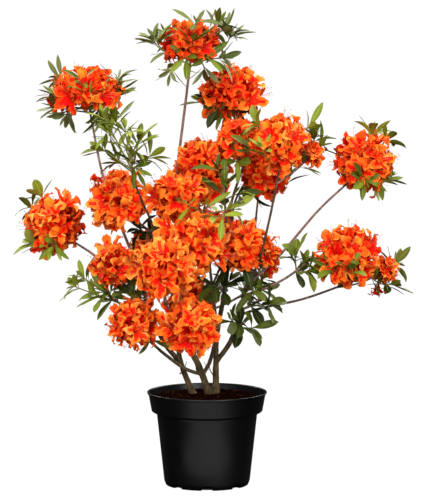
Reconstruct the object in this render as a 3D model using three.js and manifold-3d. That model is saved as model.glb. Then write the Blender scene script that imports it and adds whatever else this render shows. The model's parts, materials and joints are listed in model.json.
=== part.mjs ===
// A deciduous azalea in flower, in a round nursery pot. Millimetres, +Z up.
// The origin is the middle of the pot's flat underside, and -Y is the plant's front.
import * as THREE from 'three';
import { mergeVertices } from 'three/addons/utils/BufferGeometryUtils.js';
import Module from 'manifold-3d';

const wasm = await Module();
wasm.setup();
const { Manifold, Mesh: SolidMesh } = wasm;

// ---- Driving dimensions ----
const GAP = 0.35; // air between two pieces that touch
const POT = {
  height: 180,
  rimRadius: 115,
  bandHeight: 36, // the deep collar round the top
  bandStep: 10, // how far the collar stands out from the body
  bodyTopRadius: 97,
  shoulderRadius: 83,
  shoulderHeight: 14, // below it the wall turns in to the foot
  footRadius: 79,
  wall: 2,
  floor: 3,
  segments: 32,
};
const NOTCH = { count: 8, width: 24, topWidth: 12, height: 9, depth: 11 }; // drainage cut-outs in the foot
const SOIL = { middle: 176, edge: 167, flatRadius: 60 };
const LEAF = { length: 56, width: 16, thick: 1.2, widest: 0.5, droop: 0.12, sunk: 1, spacing: 2.6, tries: 5 };
const FLOWER = { radius: 29, notch: 16, curl: 3, throat: 24, reach: 45, across: 51, clearAngle: 0.62 };
const TWIG = { foot: 2.4, tip: 1.9, sides: 3, spacing: 4.5 };
const STEM = { tip: 2.2, sides: 4, node: 22 }; // a mass's own stem, and how far below its flowers the sprays start
const CORE = 8; // radius of the knob that a truss's flowers stand on

// ---- The plan of the plant ----
// Limbs: the parent, the path of the centreline, and the radius at foot and tip.
const LIMBS = {
  stem_left: { foot: 5.5, tip: 3.6, flare: 3, path: [[-26, 5, 172], [-48, -2, 229], [-59, -8, 280], [-80, 0, 350]] },
  stem_middle: { foot: 6.4, tip: 3.4, flare: 3.5, path: [[5, 0, 172], [-15, -12, 229], [-44, -24, 292], [-55, -20, 378], [-59, -20, 432]] },
  stem_right: { foot: 6, tip: 2.8, flare: 3, path: [[17, 8, 172], [17, 6, 228], [19, 10, 287], [36, 20, 383], [48, 40, 487]] },
  stem_outer_left: { on: 'stem_left', foot: 4.6, tip: 3.2, path: [[-50, -3, 236], [-78, -16, 270], [-109, -20, 336], [-128, 0, 410]] },
  stem_far_right: { on: 'stem_right', foot: 4.8, tip: 3.2, path: [[17, 6, 236], [42, -8, 272], [60, -20, 324], [72, -22, 382]] },
  stem_back: { on: 'stem_middle', foot: 3.8, tip: 2.6, path: [[-9, -8, 212], [6, 24, 236], [17, 70, 289], [6, 140, 399]] },
  bough_low_left: { on: 'stem_middle', foot: 3.4, tip: 2.4, path: [[-10, -8, 214], [-40, -24, 226], [-76, -30, 252], [-122, -95, 303]] },
  bough_top: { on: 'stem_left', foot: 3.2, tip: 2.4, path: [[-80, 0, 350], [-82, 10, 413], [-58, 28, 600], [-44, 30, 709], [-32, 30, 806]] },
  bough_upper_left: { on: 'stem_outer_left', foot: 3, tip: 2, path: [[-128, 0, 410], [-165, 20, 497], [-199, 35, 591], [-222, 42, 702]] },
  bough_left: { on: 'stem_outer_left', foot: 2.8, tip: 2, path: [[-112, -17, 345], [-147, 0, 376], [-211, 15, 437], [-261, 20, 470]] },
  bough_leafy: { on: 'stem_middle', foot: 2.6, tip: 1.8, path: [[-57, -20, 407], [-94, -60, 489], [-131, -120, 581], [-140, -130, 612]] },
  bough_left_centre: { on: 'bough_leafy', foot: 2, tip: 1.8, path: [[-94, -60, 489], [-115, -65, 501], [-136, -70, 518]] },
  bough_centre_high: { on: 'stem_middle', foot: 2.8, tip: 2.2, path: [[-59, -20, 432], [-48, -22, 500], [-21, 5, 575]] },
  bough_high: { on: 'stem_right', foot: 2.6, tip: 2, path: [[48, 40, 487], [46, 42, 533], [75, 60, 630], [76, 92, 686], [60, 100, 712]] },
  bough_right: { on: 'stem_far_right', foot: 2.8, tip: 2, path: [[72, -22, 382], [141, 0, 445], [216, 25, 529], [278, 40, 585]] },
  bough_upper_right: { on: 'stem_far_right', foot: 2.8, tip: 2, path: [[71, -22, 372], [97, -40, 433], [117, -52, 511], [138, -60, 620]] },
  bough_mid_right: { on: 'stem_far_right', foot: 2.4, tip: 1.9, path: [[69, -21, 360], [88, 30, 434], [94, 60, 504], [99, 80, 549]] },
  bough_lower_right: { on: 'stem_far_right', foot: 2.6, tip: 2, path: [[62, -20, 330], [105, -25, 344], [180, -38, 362], [258, -52, 391]] },
  bough_back_high: { on: 'stem_back', foot: 2.6, tip: 2, path: [[6, 140, 399], [-8, 132, 455], [-20, 144, 522]] },
  bough_back_right: { on: 'stem_back', foot: 2.4, tip: 1.9, path: [[9, 121, 366], [45, 130, 459], [54, 146, 530], [86, 175, 588]] },
};

// Masses: the limb they grow on and how far along it, the middle of the ball of flowers, its half width and half
// height, the number of flowers, the leaves close under them, and the leaf sprays. A spray is where its twig ends,
// measured from the middle, and its number of leaves.
const MASSES = {
  top_truss: { on: ['bough_top', 1], middle: [-29, 30, 850], size: [58, 44], flowers: 8, under: 4, sprays: [[-66, -8, 0, 5], [74, 14, 12, 6], [58, -16, -32, 4], [-40, -18, -58, 3], [24, 26, -58, 3], [0, -44, 2, 4]] },
  high_truss: { on: ['bough_high', 1], middle: [46, 100, 755], size: [64, 50], flowers: 9, under: 3, sprays: [[-22, -34, -36, 4], [-12, 40, -34, 3]] },
  upper_left_truss: { on: ['bough_upper_left', 1], middle: [-230, 42, 754], size: [66, 44], flowers: 9, under: 3, sprays: [[-62, -4, -6, 5], [-54, 24, 24, 3], [58, 12, -2, 6], [28, -30, -42, 5], [8, -56, -2, 3]] },
  leafy_shoot: { on: ['bough_leafy', 1], middle: [-140, -132, 648], size: [50, 50], flowers: 0, under: 3, sprays: [[-42, -18, 36, 5], [-12, -8, 42, 5], [34, 24, -8, 5], [-28, 16, -16, 4]] },
  upper_right_truss: { on: ['bough_upper_right', 1], middle: [138, -62, 668], size: [55, 55], flowers: 9, under: 3, sprays: [[-46, -18, 28, 4], [56, 30, 22, 5], [-34, -50, -16, 4]] },
  right_side_truss: { on: ['bough_upper_right', 0.86], middle: [196, -50, 640], size: [26, 26], flowers: 3, under: 2, sprays: [[20, 8, 14, 4]] },
  inner_high_truss: { on: ['bough_high', 0.55], middle: [62, 0, 666], size: [48, 46], flowers: 7, under: 2, sprays: [[18, -40, -16, 4]] },
  mid_right_truss: { on: ['bough_mid_right', 1], middle: [112, 88, 592], size: [50, 44], flowers: 8, under: 2, sprays: [[-28, -22, -34, 3], [46, 18, -12, 4]] },
  centre_high_truss: { on: ['bough_centre_high', 1], middle: [-6, 20, 622], size: [56, 44], flowers: 8, under: 3, sprays: [] },
  centre_truss: { on: ['bough_centre_high', 0.62], middle: [-62, -62, 566], size: [55, 47], flowers: 8, under: 2, sprays: [] },
  centre_leaf_shoot: { on: ['stem_right', 0.84], middle: [32, -70, 580], size: [40, 40], flowers: 0, under: 2, sprays: [[-10, 0, 30, 4], [26, 6, -14, 4]] },
  front_leaf_shoot: { on: ['bough_centre_high', 0.3], middle: [0, -96, 545], size: [40, 20], flowers: 0, under: 0, sprays: [[-36, -8, 4, 4], [44, 0, -6, 4]] },
  left_centre_truss: { on: ['bough_left_centre', 1], middle: [-172, -72, 553], size: [57, 53], flowers: 9, under: 2, sprays: [] },
  dark_leaf_shoot: { on: ['bough_leafy', 0.32], middle: [-112, -30, 492], size: [30, 30], flowers: 0, under: 3, sprays: [[-16, 20, 0, 3]] },
  left_truss: { on: ['bough_left', 1], middle: [-297, 22, 506], size: [57, 57], flowers: 9, under: 2, sprays: [[-36, -12, -42, 5], [6, -38, -42, 4], [-22, 10, 50, 3], [-44, 26, 24, 3]] },
  right_truss: { on: ['bough_right', 1], middle: [305, 42, 624], size: [59, 57], flowers: 9, under: 2, sprays: [[38, -14, -38, 5], [-6, -42, -36, 4], [12, 10, 50, 3], [40, 24, 34, 3]] },
  inner_left_truss: { on: ['stem_outer_left', 0.86], middle: [-178, -108, 440], size: [46, 52], flowers: 8, under: 2, sprays: [] },
  front_truss: { on: ['stem_middle', 0.7], middle: [-80, -212, 444], size: [63, 58], flowers: 9, under: 2, sprays: [] },
  centre_front_truss: { on: ['stem_middle', 0.96], middle: [-17, -114, 487], size: [58, 53], flowers: 9, under: 2, sprays: [] },
  centre_right_truss: { on: ['stem_right', 0.8], middle: [69, -46, 470], size: [48, 52], flowers: 8, under: 2, sprays: [] },
  hanging_truss: { on: ['bough_right', 0.1], middle: [112, 0, 446], size: [32, 42], flowers: 5, under: 2, sprays: [] },
  lower_right_truss: { on: ['bough_lower_right', 1], middle: [265, -60, 455], size: [58, 58], flowers: 9, under: 3, sprays: [[-26, -30, -30, 4], [8, -54, -28, 4]] },
  right_end_truss: { on: ['bough_lower_right', 0.93], middle: [338, 4, 414], size: [28, 26], flowers: 4, under: 3, sprays: [[14, 10, -28, 4], [22, 12, 8, 4]] },
  right_leaf_shoot: { on: ['stem_far_right', 0.9], middle: [186, -78, 436], size: [34, 30], flowers: 0, under: 2, sprays: [[-20, 0, 14, 4], [8, -8, -16, 3]] },
  lower_left_truss: { on: ['bough_low_left', 1], middle: [-138, -146, 334], size: [54, 50], flowers: 9, under: 2, sprays: [[34, 34, -40, 2]] },
  lower_front_truss: { on: ['stem_middle', 0.5], middle: [-28, -212, 334], size: [60, 53], flowers: 9, under: 2, sprays: [] },
  left_leaf_shoot: { on: ['stem_outer_left', 0.56], middle: [-196, -62, 380], size: [50, 36], flowers: 0, under: 3, sprays: [[-36, 8, 24, 5], [-12, -6, -10, 4]] },
  low_leaf_shoot: { on: ['stem_outer_left', 0.44], middle: [-120, -76, 388], size: [30, 20], flowers: 0, under: 3, sprays: [] },
  inner_leaves: { on: ['stem_right', 0.62], middle: [28, -30, 386], size: [36, 30], flowers: 0, under: 4, sprays: [[-16, -30, 6, 4], [14, 34, 6, 4]] },
  right_leaves: { on: ['stem_far_right', 0.74], middle: [100, -60, 366], size: [40, 36], flowers: 0, under: 4, sprays: [[18, -8, -10, 5], [-14, -14, 18, 4]] },
  low_right_leaves: { on: ['stem_far_right', 0.5], middle: [66, -84, 322], size: [40, 30], flowers: 0, under: 3, sprays: [[-20, -10, 8, 4], [20, -6, -8, 4]] },
  back_truss: { on: ['stem_back', 0.97], middle: [4, 206, 470], size: [56, 50], flowers: 9, under: 3, sprays: [[0, 44, -36, 4]] },
  back_high_truss: { on: ['bough_back_high', 1], middle: [-26, 158, 572], size: [54, 48], flowers: 9, under: 3, sprays: [[-20, 40, -30, 3]] },
  back_right_truss: { on: ['bough_back_right', 1], middle: [100, 196, 638], size: [52, 46], flowers: 9, under: 3, sprays: [[26, 40, -26, 4]] },
  back_left_truss: { on: ['stem_back', 0.8], middle: [-104, 126, 448], size: [54, 50], flowers: 9, under: 3, sprays: [[-30, 36, -24, 4]] },
  back_low_truss: { on: ['stem_back', 0.5], middle: [-34, 132, 346], size: [50, 44], flowers: 8, under: 3, sprays: [[-10, 40, -30, 4]] },
  back_leaf_shoot: { on: ['stem_back', 0.66], middle: [92, 118, 372], size: [40, 36], flowers: 0, under: 4, sprays: [[18, 24, 10, 4], [16, -24, -4, 4]] },
  back_left_high_truss: { on: ['bough_upper_left', 0.46], middle: [-176, 96, 556], size: [50, 48], flowers: 8, under: 3, sprays: [[-10, 44, -26, 4]] },
};

// ---- Materials ----
const plain = (color, roughness, metalness = 0) => new THREE.MeshStandardMaterial({ color, roughness, metalness });
const potBlack = plain(0x161616, 0.5);
const compostBrown = plain(0x2b1a14, 0.95);
const barkBrown = plain(0x5a4a38, 0.85);
const blossomOrange = plain(0xf2561d, 0.6);
const leafGreen = plain(0x5c7a24, 0.55);

// ---- Helpers ----
const vector = (list) => new THREE.Vector3(...list);

// A small generator of repeatable numbers from 0 to 1, started by a name.
function randomFrom(name) {
  let state = [...name].reduce((sum, letter) => Math.imul(sum ^ letter.charCodeAt(0), 16777619), 2166136261);
  return () => {
    state = (state + 0x6d2b79f5) | 0;
    let t = Math.imul(state ^ (state >>> 15), 1 | state);
    t = (t + Math.imul(t ^ (t >>> 7), 61 | t)) ^ t;
    return ((t ^ (t >>> 14)) >>> 0) / 4294967296;
  };
}

// A closed three.js geometry as a solid, for joining and cutting.
function solidOf(geometry) {
  const bare = geometry.clone();
  bare.deleteAttribute('normal');
  bare.deleteAttribute('uv');
  const closed = mergeVertices(bare, 1e-4);
  return new Manifold(new SolidMesh({
    numProp: 3,
    vertProperties: closed.attributes.position.array,
    triVerts: new Uint32Array(closed.index.array),
  }));
}

function geometryOf(solid) {
  const mesh = solid.getMesh();
  const geometry = new THREE.BufferGeometry();
  geometry.setAttribute('position', new THREE.BufferAttribute(new Float32Array(mesh.vertProperties), 3));
  geometry.setIndex(new THREE.BufferAttribute(new Uint32Array(mesh.triVerts), 1));
  geometry.computeVertexNormals();
  return geometry;
}

function boxesMeet(a, b, gap) {
  return [0, 1, 2].every((k) => a.min[k] - gap < b.max[k] && b.min[k] - gap < a.max[k]);
}

// The biggest piece of a solid that a cut may have left in several.
function biggest(solid) {
  return solid.decompose().reduce((best, piece) => (piece.volume() > best.volume() ? piece : best));
}

// Moves every vertex of a geometry to the place that the function gives for it.
function reshape(geometry, place) {
  const position = geometry.attributes.position;
  const point = new THREE.Vector3();
  for (let i = 0; i < position.count; i++) {
    point.fromBufferAttribute(position, i);
    position.setXYZ(i, ...place(point).toArray());
  }
  return geometry;
}

// Three axes at right angles: the first along the given way, the third as near as can be to the hint.
function axesAlong(way, hint) {
  const along = way.clone().normalize();
  const side = new THREE.Vector3().crossVectors(hint, along);
  if (side.length() < 1e-3) side.crossVectors(new THREE.Vector3(0.3, 1, 0.2), along);
  side.normalize();
  return { along, side, normal: new THREE.Vector3().crossVectors(along, side) };
}

// ---- Limbs ----
// A cylinder bent along a curve, with its radius tapering from foot to tip and flaring out at the root.
function limbSolid(curve, { foot, tip, flare = 0 }, sides, rings, grow = 0) {
  const frames = curve.computeFrenetFrames(rings, false);
  const length = curve.getLength();
  const flareLength = 14;
  return solidOf(reshape(new THREE.CylinderGeometry(1, 1, 1, sides, rings), (p) => {
    const ring = Math.round((p.y + 0.5) * rings);
    const t = ring / rings;
    const radius = foot + (tip - foot) * t + flare * Math.exp(-t * length / flareLength) + grow;
    const end = ring === 0 ? -grow : ring === rings ? grow : 0;
    return curve.getPointAt(t)
      .addScaledVector(frames.tangents[ring], end)
      .addScaledVector(frames.normals[ring], p.x * radius)
      .addScaledVector(frames.binormals[ring], -p.z * radius);
  }));
}

// What is left of a solid outside the hulls of the wood already there.
function trimmed(solid, others) {
  const box = solid.boundingBox();
  const near = others.filter((other) => boxesMeet(box, other.hull.boundingBox(), GAP));
  return biggest(near.reduce((rest, other) => rest.subtract(other.hull), solid));
}

function growLimbs() {
  const underground = solidOf(new THREE.BoxGeometry(400, 400, 100).translate(0, 0, SOIL.middle + GAP - 50));
  const limbs = {};
  for (const [name, plan] of Object.entries(LIMBS)) {
    const curve = new THREE.CatmullRomCurve3(plan.path.map(vector), false, 'centripetal');
    const rings = Math.max(3, Math.round(curve.getLength() / 60));
    const sides = plan.on ? 5 : 7;
    const solid = trimmed(limbSolid(curve, plan, sides, rings).subtract(underground), Object.values(limbs));
    limbs[name] = { name, curve, plan, solid, hull: limbSolid(curve, plan, sides, rings, GAP / Math.cos(Math.PI / sides)) };
  }
  return limbs;
}

// ---- Leaves ----
// A leaf: two long points, two sides at its widest and a midrib under it. Its root is sunk in the twig.
function leaf(root, way, facing, scale) {
  const { along, side, normal } = axesAlong(way, facing);
  const length = LEAF.length * scale;
  return solidOf(reshape(new THREE.SphereGeometry(1, 3, 2), (p) => {
    const share = p.y > 0.5 ? 1 : p.y < -0.5 ? 0 : LEAF.widest;
    return root.clone()
      .addScaledVector(along, share * (length + LEAF.sunk) - LEAF.sunk)
      .addScaledVector(side, p.z * LEAF.width * scale / Math.sqrt(3))
      .addScaledVector(normal, p.x * LEAF.thick - LEAF.droop * length * share * share);
  }));
}

// ---- Trusses of flowers ----
// A truss is built on a dodecahedron. Its rows of corners lie at these angles from the axis, and each of its twelve
// faces, one ahead, five and five round it and one behind, can open into a five-pointed funnel.
const CORNER_ROWS = [37.38, 79.19, 100.81, 142.62].map(THREE.MathUtils.degToRad);
const FACE_TURN = 2 * Math.PI / 5;

function polar(lean, turn) {
  return new THREE.Vector3(Math.sin(lean) * Math.cos(turn), Math.sin(lean) * Math.sin(turn), Math.cos(lean));
}

// The way a face looks, from the middle of the truss.
function faceWay(face) {
  if (face === 0) return new THREE.Vector3(0, 0, 1);
  const lean = Math.atan(2);
  return face < 6 ? polar(lean, (face - 1) * FACE_TURN) : polar(Math.PI - lean, (face - 5.5) * FACE_TURN);
}

// The corners of one face as [row, step round], anticlockwise from outside.
function faceCorners(face) {
  const k = (face - 1) % 5;
  if (face === 0) return [0, 1, 2, 3, 4].map((step) => [0, step]);
  if (face < 6) return [[0, k + 4], [1, k + 4], [2, k], [1, k], [0, k]];
  if (face < 11) return [[1, k], [2, k], [3, k], [3, k + 1], [2, k + 1]];
  return [4, 3, 2, 1, 0].map((step) => [3, step]);
}

// A truss with flowers on the given faces, in one skin. The stretch and turn are the mass's own.
function trussSolid(mass, faces) {
  const points = CORNER_ROWS.flatMap((lean, row) => Array.from({ length: 5 }, (_, step) =>
    polar(lean, (step + (row < 2 ? 0.5 : 0)) * FACE_TURN).multiplyScalar(CORE)));
  const triangles = [];
  for (let face = 0; face < 12; face++) {
    const corners = faceCorners(face).map(([row, step]) => row * 5 + step % 5);
    if (faces.includes(face)) {
      addFunnel(points, triangles, corners, mass.flowerSizes[face]);
    } else {
      for (let i = 1; i < 4; i++) triangles.push(corners[0], corners[i], corners[i + 1]);
    }
  }
  return new Manifold(new SolidMesh({
    numProp: 3,
    vertProperties: new Float32Array(points.flatMap((point) => point.applyMatrix4(mass.place).toArray())),
    triVerts: new Uint32Array(triangles),
  }));
}

// Opens a face into a funnel whose points lie over its corners and whose notches lie over its edges.
function addFunnel(points, triangles, corners, size) {
  const ahead = corners.reduce((sum, corner) => sum.add(points[corner]), new THREE.Vector3()).normalize();
  const rim = ahead.clone().multiplyScalar(FLOWER.reach * size);
  const over = (target, radius, lift) => {
    const out = target.clone().addScaledVector(ahead, -target.dot(ahead)).normalize();
    return points.push(rim.clone().addScaledVector(out, radius * size).addScaledVector(ahead, lift)) - 1;
  };
  const throat = points.push(rim.clone().addScaledVector(ahead, -FLOWER.throat)) - 1;
  const ring = corners.map((corner, i) => {
    const next = points[corners[(i + 1) % 5]];
    const middle = points[corner].clone().add(next);
    return [over(points[corner], FLOWER.radius, 0), over(middle, FLOWER.notch, -FLOWER.curl)];
  });
  corners.forEach((corner, i) => {
    const next = (i + 1) % 5;
    const [tip, notch] = ring[i];
    const nextTip = ring[next][0];
    triangles.push(corner, corners[next], notch, corner, notch, tip, notch, corners[next], nextTip);
    triangles.push(tip, notch, throat, notch, nextTip, throat);
  });
}

// ---- Masses ----
// What each mass is sure to hold: its stem, its core and the twigs of its sprays.
function massFrame(name, plan, limbs, others) {
  const [limbName, along] = plan.on;
  const limb = limbs[limbName];
  const foot = limb.curve.getPointAt(along);
  const middle = vector(plan.middle);
  const axis = new THREE.Vector3().subVectors(middle, foot).normalize().lerp(new THREE.Vector3(0, 0, 1), 0.25).normalize();
  const core = middle.clone().addScaledVector(axis, plan.flowers ? -0.15 * plan.size[1] : 0);
  const radius = THREE.MathUtils.lerp(limb.plan.foot, limb.plan.tip, along) * (along === 1 ? 0.98 : 0.72);
  const shortStem = new THREE.LineCurve3(foot, core);
  const bend = new THREE.QuadraticBezierCurve3(foot, core.clone().addScaledVector(axis, -0.45 * core.distanceTo(foot)), core);
  const curve = along === 1 ? shortStem : bend;
  const rings = along === 1 ? 1 : 3;
  const sizes = { foot: radius, tip: Math.min(radius, STEM.tip) };
  const hull = limbSolid(curve, sizes, STEM.sides, rings, GAP / Math.cos(Math.PI / STEM.sides));
  const stem = trimmed(limbSolid(curve, sizes, STEM.sides, rings), others);
  const nodeAt = 1 - Math.min(0.4, STEM.node / curve.getLength());
  const node = curve.getPoint(nodeAt);
  const nodeWay = curve.getTangent(nodeAt);
  const random = randomFrom(name);
  const turned = axesAlong(axis, new THREE.Vector3(random() - 0.5, random() - 0.5, 0.2));
  const [wide, tall] = plan.size.map((half) => half / FLOWER.across);
  const place = new THREE.Matrix4().makeTranslation(...core.toArray())
    .scale(new THREE.Vector3(wide, wide, tall))
    .multiply(new THREE.Matrix4().makeBasis(turned.side, turned.normal, turned.along));
  const flowerSizes = Array.from({ length: 12 }, () => 0.92 + 0.14 * random());
  return { name, plan, axis, core, node, nodeWay, middle, place, flowerSizes, hull, pieces: [stem], random };
}

// Adds a piece to its mass, unless it would touch a limb, another mass, or any part of its own but those named.
function addIfClear(mass, solid, taken, mayTouch) {
  const box = solid.boundingBox();
  const blocked = taken.some((other) => !mayTouch.includes(other.solid) && boxesMeet(box, other.box, GAP)
    && solid.minGap(other.solid, GAP) < GAP);
  if (blocked) return false;
  mass.pieces.push(solid);
  taken.push({ mass: mass.name, solid, box });
  return true;
}

// A false whorl: leaves set closely one after another round the last part of a shoot.
function growLeaves(mass, { wood, end, way, leaves, spread }, taken) {
  const { random } = mass;
  const { along, side, normal } = axesAlong(way, new THREE.Vector3(0, 0, 1));
  const facing = along.clone().add(new THREE.Vector3(0, 0, 0.4));
  const start = random() * 2 * Math.PI;
  for (let i = 0; i < leaves; i++) {
    const root = end.clone().addScaledVector(along, -(i + 0.4) * LEAF.spacing);
    for (let tries = 0; tries < LEAF.tries; tries++) {
      const angle = start + (i + 0.4 * (random() - 0.5)) * 2 * Math.PI / leaves + tries * 0.35;
      const lean = spread * (0.8 + 0.4 * random());
      const leafWay = along.clone().multiplyScalar(Math.cos(lean))
        .addScaledVector(side, Math.sin(lean) * Math.cos(angle))
        .addScaledVector(normal, Math.sin(lean) * Math.sin(angle));
      if (addIfClear(mass, leaf(root, leafWay, facing, 0.85 + 0.3 * random()), taken, [wood])) break;
    }
  }
}

function growMasses(limbs) {
  const masses = [];
  for (const [name, plan] of Object.entries(MASSES)) {
    masses.push(massFrame(name, plan, limbs, [...Object.values(limbs), ...masses]));
  }
  const taken = [];
  const take = (mass, solid) => taken.push({ mass, solid, box: solid.boundingBox() });
  Object.values(limbs).forEach((limb) => take('', limb.solid));
  masses.forEach((mass) => take(mass.name, mass.pieces[0]));
  masses.forEach((mass) => growShoots(mass, taken));
  masses.filter((mass) => mass.plan.flowers).forEach((mass) => growFlowers(mass, taken));
  masses.forEach((mass) => mass.tufts.forEach((tuft) => growLeaves(mass, tuft, taken)));
  return masses;
}

// The path of a leafy shoot. One that ends ahead of the flowers runs straight out of their knob, one that ends
// beside or under them leaves the stem below and bends up round them.
function shootPath(mass, end, index) {
  const { plan, core, node, nodeWay, axis } = mass;
  const fork = node.clone().addScaledVector(nodeWay, -plan.under * LEAF.spacing - index * TWIG.spacing);
  if (!plan.flowers) return new THREE.LineCurve3(fork, end);
  const out = new THREE.Vector3().subVectors(end, core);
  const ahead = out.dot(axis);
  if (ahead > 0.4 * out.length()) return new THREE.LineCurve3(core, end);
  const bend = core.clone().addScaledVector(out, 0.9).addScaledVector(axis, -0.9 * ahead - 0.5 * plan.size[1]);
  return new THREE.QuadraticBezierCurve3(fork, bend, end);
}

function growShoots(mass, taken) {
  mass.tufts = [{ wood: mass.pieces[0], end: mass.node, way: mass.nodeWay, leaves: mass.plan.under, spread: 1.35 }];
  mass.plan.sprays.forEach(([x, y, z, leaves], index) => {
    const end = new THREE.Vector3(x, y, z).add(mass.middle);
    const curve = shootPath(mass, end, index);
    const rings = curve.isLineCurve3 ? 1 : 3;
    const wood = limbSolid(curve, TWIG, TWIG.sides, rings);
    const way = new THREE.Vector3().subVectors(end, curve.getPointAt(1 - 1 / rings)).normalize();
    const fromCore = curve.v1 === mass.core;
    if (addIfClear(mass, wood, taken, mass.pieces)) mass.tufts.push({ wood, end, way, leaves, spread: 0.95, fromCore });
  });
}

// Opens the flowers of a truss that clear the limbs, the other masses and the truss's own shoots.
function growFlowers(mass, taken) {
  const fromCore = mass.tufts.filter((tuft) => tuft.fromCore);
  const inside = [mass.pieces[0], ...fromCore.map((tuft) => tuft.wood)];
  const open = Array.from({ length: mass.plan.flowers }, (_, face) => face).filter((face) => {
    const alone = trussSolid(mass, [face]);
    const box = alone.boundingBox();
    const ahead = faceWay(face).transformDirection(mass.place);
    const shared = fromCore.some((tuft) => tuft.way.angleTo(ahead) < FLOWER.clearAngle);
    return !shared && !taken.some((other) => !inside.includes(other.solid) && boxesMeet(box, other.box, GAP)
      && alone.minGap(other.solid, GAP) < GAP);
  });
  const solid = trussSolid(mass, open);
  mass.pieces.push(solid);
  taken.push({ mass: mass.name, solid, box: solid.boundingBox() });
}

// ---- Pot and compost ----
function lathe(profile, segments) {
  return new THREE.LatheGeometry(profile.map(([r, z]) => new THREE.Vector2(r, z)), segments).rotateX(Math.PI / 2);
}

function potProfile() {
  const { height, rimRadius, bandHeight, bandStep, bodyTopRadius, shoulderRadius, shoulderHeight, footRadius, wall, floor } = POT;
  const bandFoot = height - bandHeight;
  const bandFootRadius = bodyTopRadius + bandStep;
  const outside = [[0, 0], [footRadius, 0], [shoulderRadius, shoulderHeight], [bodyTopRadius, bandFoot - 6],
    [bandFootRadius, bandFoot], [rimRadius, height]];
  const inside = [[rimRadius - wall, height], [bandFootRadius - wall, bandFoot + wall], [bodyTopRadius - wall, bandFoot - 6 + wall],
    [shoulderRadius - wall, shoulderHeight], [footRadius - wall, floor], [0, floor]];
  return { outside, inside };
}

function potSolid() {
  const { outside, inside } = potProfile();
  const shell = solidOf(lathe([...outside, ...inside], POT.segments));
  const notchShape = new THREE.Shape([[-NOTCH.width / 2, -1], [NOTCH.width / 2, -1], [NOTCH.topWidth / 2, NOTCH.height], [-NOTCH.topWidth / 2, NOTCH.height]]
    .map(([x, y]) => new THREE.Vector2(x, y)));
  const cuts = Array.from({ length: NOTCH.count }, (_, i) => solidOf(
    new THREE.ExtrudeGeometry(notchShape, { depth: NOTCH.depth + 12, bevelEnabled: false })
      .rotateX(Math.PI / 2)
      .translate(0, -(POT.footRadius - NOTCH.depth), 0)
      .rotateZ(i * 2 * Math.PI / NOTCH.count)));
  return shell.subtract(Manifold.union(cuts));
}

function compostSolid() {
  const { inside } = potProfile();
  const wallSide = inside.slice(1).map(([r, z]) => [Math.max(0, r - GAP * 1.2), z + GAP]).reverse();
  const [topRadius, topHeight] = inside[0];
  const [bandRadius, bandHeight] = inside[1];
  const edgeRadius = THREE.MathUtils.mapLinear(SOIL.edge, bandHeight, topHeight, bandRadius, topRadius) - GAP * 1.2;
  return solidOf(lathe([...wallSide, [edgeRadius, SOIL.edge], [SOIL.flatRadius, SOIL.middle], [0, SOIL.middle]], POT.segments));
}

// ---- The plant ----
const azalea = new THREE.Group();

function addPiece(name, solid, material) {
  const mesh = new THREE.Mesh(geometryOf(solid), material);
  mesh.name = name;
  azalea.add(mesh);
}

addPiece('pot', potSolid(), potBlack);
addPiece('compost', compostSolid(), compostBrown);
const limbs = growLimbs();
for (const limb of Object.values(limbs)) addPiece(limb.name, limb.solid, barkBrown);
for (const mass of growMasses(limbs)) {
  addPiece(mass.name, biggest(Manifold.union(mass.pieces).simplify(GAP / 7)), mass.plan.flowers ? blossomOrange : leafGreen);
}

export default azalea;
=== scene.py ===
import json
import math

import bmesh
import bpy
import numpy as np
from mathutils import Matrix, Vector, noise

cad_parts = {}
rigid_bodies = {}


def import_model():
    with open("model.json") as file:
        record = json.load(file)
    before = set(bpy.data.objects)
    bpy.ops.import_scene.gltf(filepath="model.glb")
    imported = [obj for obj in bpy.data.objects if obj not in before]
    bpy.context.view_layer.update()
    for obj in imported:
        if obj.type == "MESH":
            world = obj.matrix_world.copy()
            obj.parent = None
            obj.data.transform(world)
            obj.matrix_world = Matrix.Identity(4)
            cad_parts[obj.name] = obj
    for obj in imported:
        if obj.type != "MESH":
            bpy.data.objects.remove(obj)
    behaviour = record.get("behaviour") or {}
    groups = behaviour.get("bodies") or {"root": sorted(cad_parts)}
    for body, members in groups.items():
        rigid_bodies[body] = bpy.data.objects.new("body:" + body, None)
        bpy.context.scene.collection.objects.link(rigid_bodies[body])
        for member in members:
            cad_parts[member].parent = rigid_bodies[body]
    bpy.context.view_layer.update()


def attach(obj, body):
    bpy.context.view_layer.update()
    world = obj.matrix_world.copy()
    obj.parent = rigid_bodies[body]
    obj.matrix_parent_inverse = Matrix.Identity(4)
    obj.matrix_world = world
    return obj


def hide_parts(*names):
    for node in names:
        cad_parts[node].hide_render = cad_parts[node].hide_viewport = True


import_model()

mm = 0.001
upwards = Vector((0, 0, 1))
anyTurn = 6.28    # a random turn lies between nothing and this


def randomFrom(name):
    # the same small generator that the part's source uses, so that both grow the same plant
    state = 2166136261
    for letter in name:
        state = ((state ^ ord(letter)) * 16777619) & 0xFFFFFFFF
    box = [state]

    def draw(low=0.0, high=1.0):
        box[0] = (box[0] + 0x6D2B79F5) & 0xFFFFFFFF
        s = box[0]
        t = ((s ^ (s >> 15)) * (1 | s)) & 0xFFFFFFFF
        t = ((t + (((t ^ (t >> 7)) * (61 | t)) & 0xFFFFFFFF)) & 0xFFFFFFFF) ^ t
        return low + (high - low) * (((t ^ (t >> 14)) & 0xFFFFFFFF) / 4294967296)

    return draw


def axesAlong(way, hint):
    along = way.normalized()
    side = hint.cross(along)
    if side.length < 1e-3:
        side = Vector((0.3, 1, 0.2)).cross(along)
    side.normalize()
    return along, side, along.cross(side)


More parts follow.
